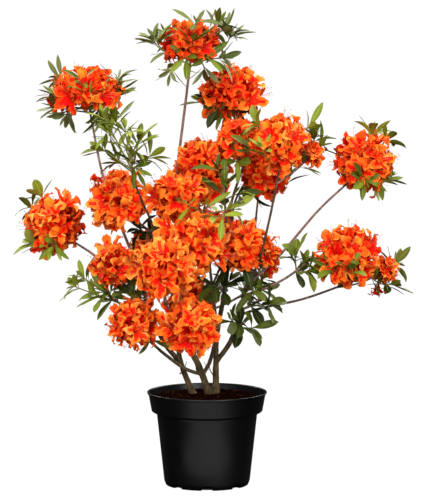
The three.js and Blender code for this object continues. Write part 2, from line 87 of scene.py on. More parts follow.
def turnTo(way, hint, spin=0.0):
    # a matrix whose Z runs along the given way
    along, side, normal = axesAlong(way, hint)
    basis = Matrix((side, normal, along)).transposed()
    return basis.to_4x4() @ Matrix.Rotation(spin, 4, "Z")


def setDown(place, turn, size=1.0):
    # the matrix of a thing that is resized, turned and then set in its place
    return Matrix.Translation(place) @ turn @ Matrix.Scale(size, 4)


def fill(tree, node, values):
    # a value that is another node's output is linked to the input, any other is set on it
    for key, value in values.items():
        if isinstance(value, bpy.types.NodeSocket):
            tree.links.new(value, node.inputs[key])
        else:
            node.inputs[key].default_value = value
    return node


def addNode(tree, kind, values=None, **settings):
    node = tree.nodes.new("ShaderNode" + kind)
    for key, value in settings.items():
        setattr(node, key, value)
    return fill(tree, node, values or {})


def calculate(tree, operation, first, second):
    return addNode(tree, "Math", {0: first, 1: second}, operation=operation).outputs[0]


def rescale(tree, value, start, end, low=0.0, high=1.0):
    # between start and end the value goes from low to high, and no further
    return addNode(tree, "MapRange", {
        "Value": value, "From Min": start, "From Max": end, "To Min": low, "To Max": high}).outputs[0]


def mixColours(tree, share, first, second):
    # a mix node's colours go into its sockets 6 and 7, and come out of its socket 2
    return addNode(tree, "Mix", {"Factor": share, 6: first, 7: second}, data_type="RGBA").outputs[2]


def startMaterial(name, roughness, shine):
    material = bpy.data.materials.new(name)
    material.use_nodes = True
    tree = material.node_tree
    shader = fill(tree, tree.nodes["Principled BSDF"], {"Roughness": roughness, "Specular IOR Level": shine})
    return material, tree, shader


def plainMaterial(name, colour, roughness, shine):
    material, tree, shader = startMaterial(name, roughness, shine)
    fill(tree, shader, {"Base Color": (*colour, 1)})
    return material


view = {
    "place": (0.00955, -6.0, 1.0767),
    "pitch": 5.94,
    "lens": 227.4,
}

studio = {
    "floorReach": 60,
    "floorColour": (0.004, 0.004, 0.004),    # what it throws back, kept low for the pot's dark flanks
    "floorGlow": 1.0,      # how pale it looks
    "roomWhite": 1.0,      # how the room looks
    "roomBack": 0.012,     # the light that falls from all round
    "roomFront": 1.12,     # what is added from the front
    "roomAbove": 0.90,     # and from above
    # each soft box: its place, what it points at, its width and height, and its power
    "lights": {
        "keyBox": [(-1.6, -3.4, 2.3), (0, 0, 0.5), (1.6, 1.8), 112],
        "fillBox": [(1.9, -3.2, 1.2), (0, 0, 0.5), (1.6, 1.8), 72],
        "frontBox": [(0, -1.9, 0.30), (0, 0, 0.25), (2.6, 0.6), 4],
        "lowReflector": [(0, -0.42, 0.004), (0, -0.42, 1), (0.42, 0.56), 0.60],
        "topBox": [(0, -0.4, 3.2), (0, 0, 0.5), (2.0, 2.0), 60],
        "backBoxLeft": [(-1.8, 2.2, 2.4), (0, 0, 0.5), (1.0, 1.8), 75],
        "backBoxRight": [(1.8, 2.2, 2.4), (0, 0, 0.5), (1.0, 1.8), 75],
    },
}


def makeCamera():
    data = bpy.data.cameras.new("viewCamera")
    data.lens = view["lens"]
    data.sensor_width = 36
    data.clip_end = 200
    camera = bpy.data.objects.new("viewCamera", data)
    camera.location = view["place"]
    camera.rotation_euler = (math.radians(90 - view["pitch"]), 0, 0)
    bpy.context.scene.collection.objects.link(camera)
    bpy.context.scene.camera = camera


def makeLight(name, place, target, size, power):
    data = bpy.data.lights.new(name, "AREA")
    data.shape = "RECTANGLE"
    data.size, data.size_y = size
    data.energy = power
    light = bpy.data.objects.new(name, data)
    light.location = place
    light.visible_camera = False
    light.rotation_euler = (Vector(target) - Vector(place)).to_track_quat("-Z", "Y").to_euler()
    bpy.context.scene.collection.objects.link(light)


def makeFloor():
    reach = studio["floorReach"]
    mesh = bpy.data.meshes.new("paleFloor")
    corners = [(-reach, -reach, 0), (reach, -reach, 0), (reach, reach, 0), (-reach, reach, 0)]
    mesh.from_pydata(corners, [], [(0, 1, 2, 3)])
    floor = bpy.data.objects.new("paleFloor", mesh)
    bpy.context.scene.collection.objects.link(floor)
    material, tree, shader = startMaterial("paleFloor", 0.9, 0.1)
    seen = addNode(tree, "LightPath").outputs["Is Camera Ray"]
    glow = calculate(tree, "MULTIPLY", seen, studio["floorGlow"])
    fill(tree, shader, {
        "Base Color": (*studio["floorColour"], 1), "Emission Color": (1, 1, 1, 1), "Emission Strength": glow})
    mesh.materials.append(material)


def makeRoom():
    # white to look at; its light is soft from the front and from above, and little from the back
    world = bpy.data.worlds.new("paleRoom")
    bpy.context.scene.world = world
    world.use_nodes = True
    tree = world.node_tree
    seen = addNode(tree, "LightPath").outputs["Is Camera Ray"]
    way = addNode(tree, "SeparateXYZ", {0: addNode(tree, "TexCoord").outputs["Generated"]})
    back = studio["roomBack"]
    front = rescale(tree, way.outputs["Y"], -0.35, -0.92, back, back + studio["roomFront"])
    above = rescale(tree, way.outputs["Z"], 0.15, 0.9, 0, studio["roomAbove"])
    level = rescale(tree, seen, 0, 1, calculate(tree, "ADD", front, above), studio["roomWhite"])
    fill(tree, tree.nodes["Background"], {"Color": (1, 1, 1, 1), "Strength": level})


makeCamera()
makeFloor()
makeRoom()
for name, light in studio["lights"].items():
    makeLight(name, *light)
bpy.context.scene.view_settings.view_transform = "Standard"
print("camera, floor and lights ready")


def startGroup(name, given, made):
    # a socket's kind goes by how many numbers it holds
    kinds = {1: "NodeSocketFloat", 3: "NodeSocketVector", 4: "NodeSocketColor"}
    group = bpy.data.node_groups.new(name, "ShaderNodeTree")
    for label, value in given.items():
        kind = kinds[np.size(value)]
        group.interface.new_socket(name=label, in_out="INPUT", socket_type=kind).default_value = value
    for label, size in made.items():
        group.interface.new_socket(name=label, in_out="OUTPUT", socket_type=kinds[size])
    return group, group.nodes.new("NodeGroupInput").outputs, group.nodes.new("NodeGroupOutput")


def makeDriftGroup():
    # two colours that drift into each other in soft patches
    group, given, made = startGroup("colourDrift", {
        "Coordinates": (0, 0, 0), "Colour A": (0.5, 0.5, 0.5, 1), "Colour B": (0.2, 0.2, 0.2, 1),
        "Scale": 20.0, "Sharpness": 0.2}, {"Colour": 4, "Mask": 1})
    cloud = addNode(group, "TexNoise", {
        "Vector": given["Coordinates"], "Scale": given["Scale"], "Detail": 5.0, "Roughness": 0.6})
    low, high = (calculate(group, way, 0.5, given["Sharpness"]) for way in ("SUBTRACT", "ADD"))
    mask = rescale(group, cloud.outputs["Fac"], low, high)
    fill(group, made, {"Colour": mixColours(group, mask, given["Colour A"], given["Colour B"]), "Mask": mask})
    return group


def makeGrainGroup():
    # a fine uneven surface, stretched along one axis where the three scales differ
    group, given, made = startGroup("fineGrain", {
        "Coordinates": (0, 0, 0), "Stretch": (1, 1, 1), "Scale": 200.0, "Contrast": 1.0}, {"Height": 1})
    stretched = addNode(group, "VectorMath", {
        0: given["Coordinates"], 1: given["Stretch"]}, operation="MULTIPLY").outputs[0]
    grain = addNode(group, "TexNoise", {
        "Vector": stretched, "Scale": given["Scale"], "Detail": 6.0, "Roughness": 0.65})
    fill(group, made, {"Height": calculate(group, "POWER", grain.outputs["Fac"], given["Contrast"])})
    return group


def makeDustGroup():
    # pale dust in patches, coarse ones broken up by fine ones
    group, given, made = startGroup("settledDust", {
        "Coordinates": (0, 0, 0), "Scale": 30.0, "Amount": 0.3}, {"Mask": 1})
    where, size = given["Coordinates"], given["Scale"]
    finer = calculate(group, "MULTIPLY", size, 14.0)
    coarse = addNode(group, "TexNoise", {"Vector": where, "Scale": size, "Detail": 4.0, "Roughness": 0.7})
    fine = addNode(group, "TexNoise", {"Vector": where, "Scale": finer, "Detail": 2.0, "Roughness": 0.5})
    both = calculate(group, "MULTIPLY", coarse.outputs["Fac"], fine.outputs["Fac"])
    patches = rescale(group, both, 0.24, 0.42)
    fill(group, made, {"Mask": calculate(group, "MULTIPLY", patches, given["Amount"])})
    return group


groups = {"drift": makeDriftGroup(), "grain": makeGrainGroup(), "dust": makeDustGroup()}


def placeGroup(tree, which, values):
    where = addNode(tree, "TexCoord").outputs["Object"]
    return addNode(tree, "Group", {"Coordinates": where, **values}, node_tree=groups[which])


def addBump(tree, shader, height, strength, distance):
    bump = addNode(tree, "Bump", {"Height": height, "Strength": strength, "Distance": distance})
    fill(tree, shader, {"Normal": bump.outputs["Normal"]})


def newHeap():
    return {"points": [], "faces": [], "slots": [], "count": 0}


def pile(heap, points, faces, slots=0):
    # slots is one material number for all these faces, or one for each
    heap["points"].append(points)
    heap["faces"].append(faces + heap["count"])
    heap["slots"].append(np.zeros(len(faces), int) + slots)
    heap["count"] += len(points)


def joined(heap):
    return [np.concatenate(heap[key]) for key in ("points", "faces", "slots")]


def makePiece(name, heap, materials, smooth=True):
    # faces all have four corners; a three-cornered face repeats its last one
    points, faces, slots = joined(heap)
    isTriangle = faces[:, 2] == faces[:, 3]
    keep = np.ones(faces.shape, bool)
    keep[:, 3] = ~isTriangle
    corners = faces[keep].astype(np.int32)
    starts = np.concatenate([[0], np.cumsum(np.where(isTriangle, 3, 4))[:-1]])
    mesh = bpy.data.meshes.new(name)
    mesh.vertices.add(len(points))
    mesh.vertices.foreach_set("co", (points * mm).astype(np.float32).ravel())
    mesh.loops.add(len(corners))
    mesh.loops.foreach_set("vertex_index", corners)
    mesh.polygons.add(len(faces))
    mesh.polygons.foreach_set("loop_start", starts.astype(np.int32))
    mesh.polygons.foreach_set("material_index", slots.astype(np.int32))
    mesh.polygons.foreach_set("use_smooth", np.full(len(faces), smooth))
    for material in materials:
        mesh.materials.append(material)
    mesh.update(calc_edges=True)
    mesh.validate()
    piece = bpy.data.objects.new(name, mesh)
    bpy.context.scene.collection.objects.link(piece)
    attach(piece, "root")
    return piece


def tidyMesh(mesh, near=0.00002):
    # joins points that lie on one another, and takes out the empty faces that this or a cut has left
    shape = bmesh.new()
    shape.from_mesh(mesh)
    bmesh.ops.remove_doubles(shape, verts=shape.verts, dist=near)
    bmesh.ops.triangulate(shape, faces=[face for face in shape.faces if len(face.verts) > 3])
    bmesh.ops.dissolve_degenerate(shape, edges=shape.edges, dist=near)
    shape.to_mesh(mesh)
    shape.free()


def gridFaces(rows, columns, wrap=False):
    i, j = np.meshgrid(np.arange(rows - 1), np.arange(columns if wrap else columns - 1), indexing="ij")
    here, after = i.ravel() * columns, (i.ravel() + 1) * columns
    j, nextJ = j.ravel(), (j.ravel() + 1) % columns
    return np.stack([here + j, here + nextJ, after + nextJ, after + j], 1)


def placed(points, matrix):
    m = np.array(matrix)
    return points @ m[:3, :3].T + m[:3, 3]


def smoothPath(points, step=3.0, pieces=24):
    # the centripetal curve through the points, cut into even steps
    p = [Vector(point) for point in points]
    if len(p) == 2:
        return evenly([p[0].lerp(p[1], t / 20) for t in range(21)], step)
    p = [p[0] * 2 - p[1]] + p + [p[-1] * 2 - p[-2]]
    dense = []
    for a, b, c, d in zip(p, p[1:], p[2:], p[3:]):
        s0, s1, s2 = ((b - a).length ** 0.5, (c - b).length ** 0.5, (d - c).length ** 0.5)
        t1 = ((b - a) / s0 - (c - a) / (s0 + s1) + (c - b) / s1) * s1
        t2 = ((c - b) / s1 - (d - b) / (s1 + s2) + (d - c) / s2) * s1
        for k in range(pieces):
            t = k / pieces
            dense.append(b + t1 * t + (b * -3 + c * 3 - t1 * 2 - t2) * t * t
                         + (b * 2 - c * 2 + t1 + t2) * t ** 3)
    return evenly(dense + [p[-2]], step)


def bendPath(a, b, c, step=3.0):
    return evenly([a * (1 - t) ** 2 + b * 2 * t * (1 - t) + c * t * t for t in np.linspace(0, 1, 25)], step)


def evenly(dense, step):
    lengths = np.concatenate([[0], np.cumsum([(b - a).length for a, b in zip(dense, dense[1:])])])
    count = max(2, int(round(lengths[-1] / step)) + 1)
    at = np.linspace(0, lengths[-1], count)
    array = np.array([list(q) for q in dense])
    return np.stack([np.interp(at, lengths, array[:, k]) for k in range(3)], 1)


def pathLength(path):
    return float(np.linalg.norm(np.diff(path, axis=0), axis=1).sum())


def pathPoint(path, share):
    index = share * (len(path) - 1)
    low = min(int(index), len(path) - 2)
    return Vector(path[low] + (path[low + 1] - path[low]) * (index - low))


def tubeFrames(path):
    tangents = np.gradient(path, axis=0)
    tangents /= np.linalg.norm(tangents, axis=1)[:, None]
    normal = np.cross(tangents[0], [0.31, 0.87, 0.11])
    normal /= np.linalg.norm(normal)
    normals = []
    for tangent in tangents:
        normal = normal - tangent * normal.dot(tangent)
        normal /= np.linalg.norm(normal)
        normals.append(normal)
    normals = np.array(normals)
    return tangents, normals, np.cross(tangents, normals)


def addTube(heap, path, radii, sides, slot=0, relief=None):
    # a tube round a path; relief(angle, distance along) gives a share to add to the radius
    tangents, normals, binormals = tubeFrames(path)
    angles = np.linspace(0, 2 * np.pi, sides, endpoint=False)
    along = np.concatenate([[0], np.cumsum(np.linalg.norm(np.diff(path, axis=0), axis=1))])
    radius = np.repeat(np.asarray(radii, float)[:, None], sides, 1)
    if relief is not None:
        radius = radius * (1 + relief(angles[None, :], along[:, None]))
    cosine, sine = np.cos(angles)[None, :, None], np.sin(angles)[None, :, None]
    ring = cosine * normals[:, None, :] + sine * binormals[:, None, :]
    points = (path[:, None, :] + ring * radius[:, :, None]).reshape(-1, 3)
    # its end closes in a low cone
    tip = path[-1] + tangents[-1] * radii[-1] * 0.5
    last, end = (len(path) - 1) * sides, len(points)
    cap = [[last + k, last + (k + 1) % sides, end, end] for k in range(sides)]
    pile(heap, np.vstack([points, tip]), np.vstack([gridFaces(len(path), sides, wrap=True), cap]), slot)


def lumpPoints(top=1.0):
    # a small eight-sided lump: crumb, chip, bud or anther
    return np.array([(1, 0, 0), (-1, 0, 0), (0, 1, 0), (0, -1, 0), (0, 0, top), (0, 0, -1)], float)


lumpSides = [(0, 2), (2, 1), (1, 3), (3, 0)]
lumpFaces = np.array([[a, b, 4, 4] for a, b in lumpSides] + [[b, a, 5, 5] for a, b in lumpSides])


potLook = {
    "height": 180, "rimRadius": 115, "bandHeight": 36, "bandFootRadius": 107,
    "bodyTopRadius": 97, "shoulderRadius": 83, "shoulderHeight": 14, "footRadius": 79,
    "wall": 2.0, "floor": 3.0, "turns": 160,
    "notchCount": 8, "notchWidth": 24, "notchTop": 12, "notchHeight": 9, "notchDepth": 11, "notchBevel": 1.2,
    "sharpFrom": 38,    # degrees: edges that turn more than this stay sharp
    "black": (0.0010, 0.0010, 0.0010, 1), "worn": (0.0020, 0.0019, 0.0018, 1),
    "dust": (0.013, 0.011, 0.009, 1), "roughness": 0.30, "shine": 0.31,
}


def roundedProfile(corners, steps=5):
    # each corner is (radius, height, rounding)
    out = []
    for k, (r, z, rounding) in enumerate(corners):
        here = Vector((r, z))
        if rounding == 0 or k in (0, len(corners) - 1):
            out.append(here)
            continue
        before = Vector(corners[k - 1][:2]) - here
        after = Vector(corners[k + 1][:2]) - here
        a = here + before.normalized() * min(rounding, before.length * 0.45)
        b = here + after.normalized() * min(rounding, after.length * 0.45)
        for t in np.linspace(0, 1, steps):
            out.append(a * (1 - t) ** 2 + here * 2 * t * (1 - t) + b * t * t)
    return out


def lathePoints(profile, turns):
    angles = np.linspace(0, 2 * np.pi, turns, endpoint=False)
    r, z = np.array([(q[0], q[1]) for q in profile]).T
    x = r[:, None] * np.cos(angles)[None, :]
    y = r[:, None] * np.sin(angles)[None, :]
    return np.stack([x, y, np.repeat(z[:, None], turns, 1)], 2).reshape(-1, 3)


def makePotMaterial():
    p = potLook
    material, tree, shader = startMaterial("blackPlastic", p["roughness"], p["shine"])
    drift = placeGroup(tree, "drift", {
        "Colour A": p["black"], "Colour B": p["worn"], "Scale": 9.0, "Sharpness": 0.3})
    dust = placeGroup(tree, "dust", {"Scale": 16.0, "Amount": 0.22})
    grain = placeGroup(tree, "grain", {"Scale": 240.0, "Stretch": (1, 1, 0.25)})
    # dust lies thickest on the lowest centimetres
    place = addNode(tree, "SeparateXYZ", {0: addNode(tree, "TexCoord").outputs["Object"]})
    low = rescale(tree, place.outputs["Z"], 0.055, 0.0, 0.12, 1.0)
    dusty = calculate(tree, "MULTIPLY", dust.outputs["Mask"], low)
    colour = mixColours(tree, dusty, drift.outputs["Colour"], p["dust"])
    rough = rescale(tree, drift.outputs["Mask"], 0, 1, p["roughness"] - 0.05, p["roughness"] + 0.12)
    fill(tree, shader, {"Base Color": colour, "Roughness": rough})
    addBump(tree, shader, grain.outputs["Height"], 0.12, 0.0006)
    return material


def notchBlocks():
    # a tapered block for each drainage notch, across the wall of the foot
    p = potLook
    half, halfTop, tall, bevel = p["notchWidth"] / 2, p["notchTop"] / 2, p["notchHeight"], p["notchBevel"]
    near, far = p["footRadius"] - p["notchDepth"], p["footRadius"] + 12
    section = [(-half, -2), (half, -2), (halfTop + bevel, tall - bevel), (halfTop - bevel, tall),
               (bevel - halfTop, tall), (-halfTop - bevel, tall - bevel)]
    count = len(section)
    block = np.array([(x, -y, z) for y in (near, far) for x, z in section])
    sides = [[a, (a + 1) % count, count + (a + 1) % count, count + a] for a in range(count)]
    ends = [[0, 1, 2, 3], [0, 3, 4, 5]]
    back = [[count + a for a in reversed(face)] for face in ends]
    blocks = newHeap()
    for k in range(p["notchCount"]):
        turn = Matrix.Rotation(k * 2 * math.pi / p["notchCount"], 4, "Z")
        pile(blocks, placed(block, turn), np.array(sides + ends + back))
    return makePiece("potNotchCutter", blocks, [], smooth=False)


def makePot():
    p = potLook
    top, wall, bandFoot = p["height"], p["wall"], p["height"] - p["bandHeight"]
    rim, band, body, shoulder, foot = (
        p[key + "Radius"] for key in ("rim", "bandFoot", "bodyTop", "shoulder", "foot"))
    # up the outside, over the rim and down the inside
    profile = roundedProfile([
        (0, 1.2, 0), (foot - 16, 1.2, 1), (foot - 13, 0, 1), (foot, 0, 1.5),
        (shoulder - 0.6, 8, 2.5), (shoulder, p["shoulderHeight"], 2), (body - 0.9, bandFoot - 9.5, 0.8),
        (body, bandFoot - 6, 1.2), (band - 0.6, bandFoot - 1.2, 2), (band, bandFoot + 2, 2),
        (rim - 2.6, top - 4.6, 1), (rim - 0.1, top - 3.2, 1.2), (rim, top - 0.4, 1.2), (rim - 1.4, top, 1),
        (rim - wall - 1.2, top - 1, 1), (band - wall, bandFoot + wall, 2), (body - wall, bandFoot - 5, 2),
        (shoulder - wall, p["shoulderHeight"], 2), (foot - wall - 1, p["floor"], 2), (0, p["floor"], 0),
    ])
    heap = newHeap()
    pile(heap, lathePoints(profile, p["turns"]), gridFaces(len(profile), p["turns"], wrap=True))
    pot = makePiece("nurseryPot", heap, [makePotMaterial()])
    mesh = pot.data
    # the first and last rings shrink to a point on the axis, where the weld joins them
    weld = pot.modifiers.new("weld", "WELD")
    weld.merge_threshold = 0.00005
    cutter = notchBlocks()
    cut = pot.modifiers.new("notches", "BOOLEAN")
    cut.object = cutter
    cut.operation = "DIFFERENCE"
    cut.solver = "EXACT"
    bpy.context.view_layer.update()
    final = bpy.data.meshes.new_from_object(pot.evaluated_get(bpy.context.evaluated_depsgraph_get()))
    pot.modifiers.clear()
    pot.data = final
    bpy.data.objects.remove(cutter)
    bpy.data.meshes.remove(mesh)
    final.name = "nurseryPot"
    tidyMesh(final)
    final.set_sharp_from_angle(angle=math.radians(p["sharpFrom"]))
    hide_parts("pot")


makePot()
print("pot made")


compostLook = {
    "middle": 176, "edge": 167, "flatRadius": 60, "slopeTo": 111.5, "gap": 0.6,
    "rings": 46, "turns": 150, "heaves": 2.0, "grit": 0.9,    # how high its broad and its small heaves are
    "crumbs": 900, "crumbLeast": 0.8, "crumbMore": 2.0, "darkShare": 0.75, "chips": 70,
    "dark": (0.0020, 0.0008, 0.0006, 1), "red": (0.013, 0.0030, 0.0016, 1), "chip": (0.085, 0.026, 0.013, 1),
}


def makeCompostMaterial(name, darkColour, redColour):
    material, tree, shader = startMaterial(name, 0.9, 0)
    drift = placeGroup(tree, "drift", {
        "Colour A": darkColour, "Colour B": redColour, "Scale": 130.0, "Sharpness": 0.12})
    grain = placeGroup(tree, "grain", {"Scale": 420.0, "Contrast": 1.6})
    fill(tree, shader, {"Base Color": drift.outputs["Colour"]})
    addBump(tree, shader, grain.outputs["Height"], 0.9, 0.0015)
    return material


def compostHeight(r):
    c = compostLook
    fall = max(0, r - c["flatRadius"]) / (c["slopeTo"] - c["flatRadius"])
    return c["middle"] + (c["edge"] - c["middle"]) * fall


def makeCompost():
    c, p = compostLook, potLook
    draw = randomFrom("compost crumbs")
    wall, floor, bandFoot = p["wall"] + c["gap"], p["floor"] + c["gap"], p["height"] - p["bandHeight"]
    slope = (p["rimRadius"] - p["bandFootRadius"]) / (p["bandHeight"] - p["wall"])
    edgeRadius = p["bandFootRadius"] - wall + (c["edge"] - bandFoot - p["wall"]) * slope
    rings = np.linspace(0, edgeRadius, c["rings"])
    # the side and the underside follow the pot's inside, clear of the notches, which show no compost
    drawnIn = p["footRadius"] - p["notchDepth"] - 3
    inside = [(p["bandFootRadius"] - wall, bandFoot + p["wall"]), (p["bodyTopRadius"] - wall, bandFoot - 6),
              (p["shoulderRadius"] - wall, p["shoulderHeight"] + 2), (drawnIn, p["notchHeight"] + 2),
              (drawnIn, floor), (0, floor)]
    profile = [(r, compostHeight(r) - 0.6) for r in rings] + inside
    points = lathePoints(profile, c["turns"])
    for k, (x, y, z) in enumerate(points[:len(rings) * c["turns"]]):
        rough = noise.fractal(Vector((x, y, 3)) * 0.09, 0.6, 2.2, 5) * c["heaves"]
        rough += noise.noise(Vector((x, y, 7)) * 0.35) * c["grit"]
        points[k, 2] += rough * min(1, (edgeRadius - rings[k // c["turns"]]) / 3 + 0.3)
    heap = newHeap()
    pile(heap, points, gridFaces(len(profile), c["turns"], wrap=True))
    # crumbs: small uneven lumps, half sunk in the surface
    for k in range(c["crumbs"]):
        r = (edgeRadius - 3) * math.sqrt(draw())
        a = draw(0, 2 * math.pi)
        size = c["crumbLeast"] + c["crumbMore"] * draw() ** 3
        uneven = [[draw(0.6, 1.3) * size, draw(0.6, 1.3) * size, draw(0.4, 0.9) * size] for _ in range(6)]
        spot = Vector((r * math.cos(a), r * math.sin(a), compostHeight(r) + 0.2))
        turn = Matrix.Rotation(draw(0, anyTurn), 4, "Z") @ Matrix.Rotation(draw(-0.6, 0.6), 4, "X")
        crumb = placed(lumpPoints() * uneven, setDown(spot, turn))
        pile(heap, crumb, lumpFaces, 0 if draw() < c["darkShare"] else 1)
    # chips: slivers of bark lying flat
    for k in range(c["chips"]):
        r = (edgeRadius - 9) * math.sqrt(draw())
        a = draw(0, 2 * math.pi)
        shape = lumpPoints() * (draw(3, 7), draw(0.8, 1.6), 0.6)
        spot = Vector((r * math.cos(a), r * math.sin(a), compostHeight(r) + 0.7))
        turn = Matrix.Rotation(draw(0, anyTurn), 4, "Z") @ Matrix.Rotation(draw(-0.25, 0.25), 4, "Y")
        pile(heap, placed(shape, setDown(spot, turn)), lumpFaces, 2)
    colours = {"compostDark": ("dark", "red"), "compostRed": ("red", "dark"), "barkChip": ("chip", "red")}
    materials = [makeCompostMaterial(name, c[first], c[second]) for name, (first, second) in colours.items()]
    compost = makePiece("compostBed", heap, materials, smooth=False)
    tidyMesh(compost.data)
    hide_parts("compost")


makeCompost()
print("compost made")


# each limb: its parent, its radius at foot and tip, its flare, and the path of its middle, in millimetres
limbKeys = ("parent", "foot", "tip", "flare", "path")
limbRows = {
    "stem_left": (None, 5.5, 3.6, 3, [(-26, 5, 172), (-48, -2, 229), (-59, -8, 280), (-80, 0, 350)]),
    "stem_middle": (None, 6.4, 3.4, 3.5, [(5, 0, 172), (-15, -12, 229), (-44, -24, 292), (-55, -20, 378),
        (-59, -20, 432)]),
    "stem_right": (None, 6, 2.8, 3, [(17, 8, 172), (17, 6, 228), (19, 10, 287), (36, 20, 383),
        (48, 40, 487)]),
    "stem_outer_left": ("stem_left", 4.6, 3.2, 0, [(-50, -3, 236), (-78, -16, 270), (-109, -20, 336),
        (-128, 0, 410)]),
    "stem_far_right": ("stem_right", 4.8, 3.2, 0, [(17, 6, 236), (42, -8, 272), (60, -20, 324),
        (72, -22, 382)]),
    "stem_back": ("stem_middle", 3.8, 2.6, 0, [(-9, -8, 212), (6, 24, 236), (17, 70, 289), (6, 140, 399)]),
    "bough_low_left": ("stem_middle", 3.4, 2.4, 0, [(-10, -8, 214), (-40, -24, 226), (-76, -30, 252),
        (-122, -95, 303)]),
    "bough_top": ("stem_left", 3.2, 2.4, 0, [(-80, 0, 350), (-82, 10, 413), (-58, 28, 600), (-44, 30, 709),
        (-32, 30, 806)]),
    "bough_upper_left": ("stem_outer_left", 3, 2, 0, [(-128, 0, 410), (-165, 20, 497), (-199, 35, 591),
        (-222, 42, 702)]),
    "bough_left": ("stem_outer_left", 2.8, 2, 0, [(-112, -17, 345), (-147, 0, 376), (-211, 15, 437),
        (-261, 20, 470)]),
    "bough_leafy": ("stem_middle", 2.6, 1.8, 0, [(-57, -20, 407), (-94, -60, 489), (-131, -120, 581),
        (-140, -130, 612)]),
    "bough_left_centre": ("bough_leafy", 2, 1.8, 0, [(-94, -60, 489), (-115, -65, 501), (-136, -70, 518)]),
    "bough_centre_high": ("stem_middle", 2.8, 2.2, 0, [(-59, -20, 432), (-48, -22, 500), (-21, 5, 575)]),
    "bough_high": ("stem_right", 2.6, 2, 0, [(48, 40, 487), (46, 42, 533), (75, 60, 630), (76, 92, 686),
        (60, 100, 712)]),
    "bough_right": ("stem_far_right", 2.8, 2, 0, [(72, -22, 382), (141, 0, 445), (216, 25, 529),
        (278, 40, 585)]),
    "bough_upper_right": ("stem_far_right", 2.8, 2, 0, [(71, -22, 372), (97, -40, 433), (117, -52, 511),
        (138, -60, 620)]),
    "bough_mid_right": ("stem_far_right", 2.4, 1.9, 0, [(69, -21, 360), (88, 30, 434), (94, 60, 504),
        (99, 80, 549)]),
    "bough_lower_right": ("stem_far_right", 2.6, 2, 0, [(62, -20, 330), (105, -25, 344), (180, -38, 362),
        (258, -52, 391)]),
    "bough_back_high": ("stem_back", 2.6, 2, 0, [(6, 140, 399), (-8, 132, 455), (-20, 144, 522)]),
    "bough_back_right": ("stem_back", 2.4, 1.9, 0, [(9, 121, 366), (45, 130, 459), (54, 146, 530),
        (86, 175, 588)]),
}
limbPlans = {name: dict(zip(limbKeys, row)) for name, row in limbRows.items()}

woodLook = {
    "stemSides": 18, "stemStep": 2.6, "stemRidges": 0.16,
    "boughSides": 12, "boughStep": 4.0, "boughRidges": 0.06,
    "flareLength": 14, "collar": 0.28, "collarLength": 7,    # how soon a flare and a fork's collar fade
    "budEvery": 32, "budHeight": 1.4, "budSize": (0.9, 1.6),
    "young": ["bough_top", "bough_upper_left", "bough_left", "bough_right"],
    # the dark and the light colour of each bark, and how strong its fine relief is
    "barks": {
        "oldBark": [(0.022, 0.014, 0.004, 1), (0.205, 0.135, 0.052, 1), 0.8],
        "brownBark": [(0.038, 0.019, 0.009, 1), (0.160, 0.084, 0.045, 1), 0.5],
        "youngBark": [(0.150, 0.078, 0.056, 1), (0.400, 0.235, 0.180, 1), 0.35],
    },
    # thin dead twigs low down between the stems: the path and the radius of each
    "deadTwigs": [
        ([(-14, -10, 212), (-21, -14, 226), (-19, -16, 243)], 1.5),
        ([(-52, -5, 214), (-44, -12, 224), (-39, -14, 240)], 1.4),
        ([(15, 4, 207), (6, -2, 221), (3, -4, 240)], 1.5), ([(3, -4, 222), (-6, -8, 238)], 1.0),
        ([(-79, 8, 470), (-98, 2, 492)], 1.1), ([(-66, 22, 530), (-48, 16, 548)], 0.9),
    ],
}


def barkRelief(depth, seed):
    # long ridges that wander round the limb, with smaller flakes between them
    def relief(angle, along):
        wander = 0.5 * np.sin(along / 23 + seed) + 0.3 * np.sin(along / 9.1 + 2 * seed)
        ridges = np.sin(angle * 4 + wander * 2.4 + seed) * 0.45
        ridges = ridges + np.sin(angle * 7 - wander * 3.1 + seed * 3) * 0.35
        flakes = np.sin(along / 2.3 + 3 * np.sin(angle * 3 + seed)) * 0.2
        return depth * (ridges + flakes)
    return relief


def makeBarkMaterial(name):
    darkColour, lightColour, strength = woodLook["barks"][name]
    material, tree, shader = startMaterial(name, 0.8, 0.25)
    drift = placeGroup(tree, "drift", {
        "Colour A": darkColour, "Colour B": lightColour, "Scale": 55.0, "Sharpness": 0.22})
    grain = placeGroup(tree, "grain", {"Scale": 300.0, "Stretch": (1, 1, 0.18), "Contrast": 1.3})
    # the colour darkens where the grain's bump is low: partly the bark's own grain, partly painted shade in
    # its hollows
    shade = rescale(tree, grain.outputs["Height"], 0.3, 0.65, 0.4, 1.3)
    tone = addNode(tree, "VectorMath", {0: drift.outputs["Colour"], "Scale": shade}, operation="SCALE")
    fill(tree, shader, {"Base Color": tone.outputs[0]})
    addBump(tree, shader, grain.outputs["Height"], strength, 0.0012)
    return material


barks = {name: makeBarkMaterial(name) for name in woodLook["barks"]}
limbPaths = {name: smoothPath(plan["path"]) for name, plan in limbPlans.items()}


def limbRadii(path, foot, tip, flare):
    share = np.linspace(0, 1, len(path))
    return foot + (tip - foot) * share + flare * np.exp(-share * pathLength(path) / woodLook["flareLength"])


def addBuds(heap, path, radii, draw):
    # old leaf scars and resting buds: low swellings up the side of a limb
    every, length = woodLook["budEvery"], pathLength(path)
    tangents, normals, binormals = tubeFrames(path)
    for k in range(int(length / every)):
        index = min(len(path) - 1, int((k + draw(0.2, 0.9)) * every / length * len(path)))
        angle = draw(0, anyTurn)
        out = Vector(normals[index] * math.cos(angle) + binormals[index] * math.sin(angle))
        spot = Vector(path[index]) + out * radii[index] * 0.8
        turn = turnTo(Vector(tangents[index]) + out * 0.5, out)
        bud = lumpPoints(woodLook["budHeight"])
        pile(heap, placed(bud, setDown(spot, turn, draw(*woodLook["budSize"]))), lumpFaces)


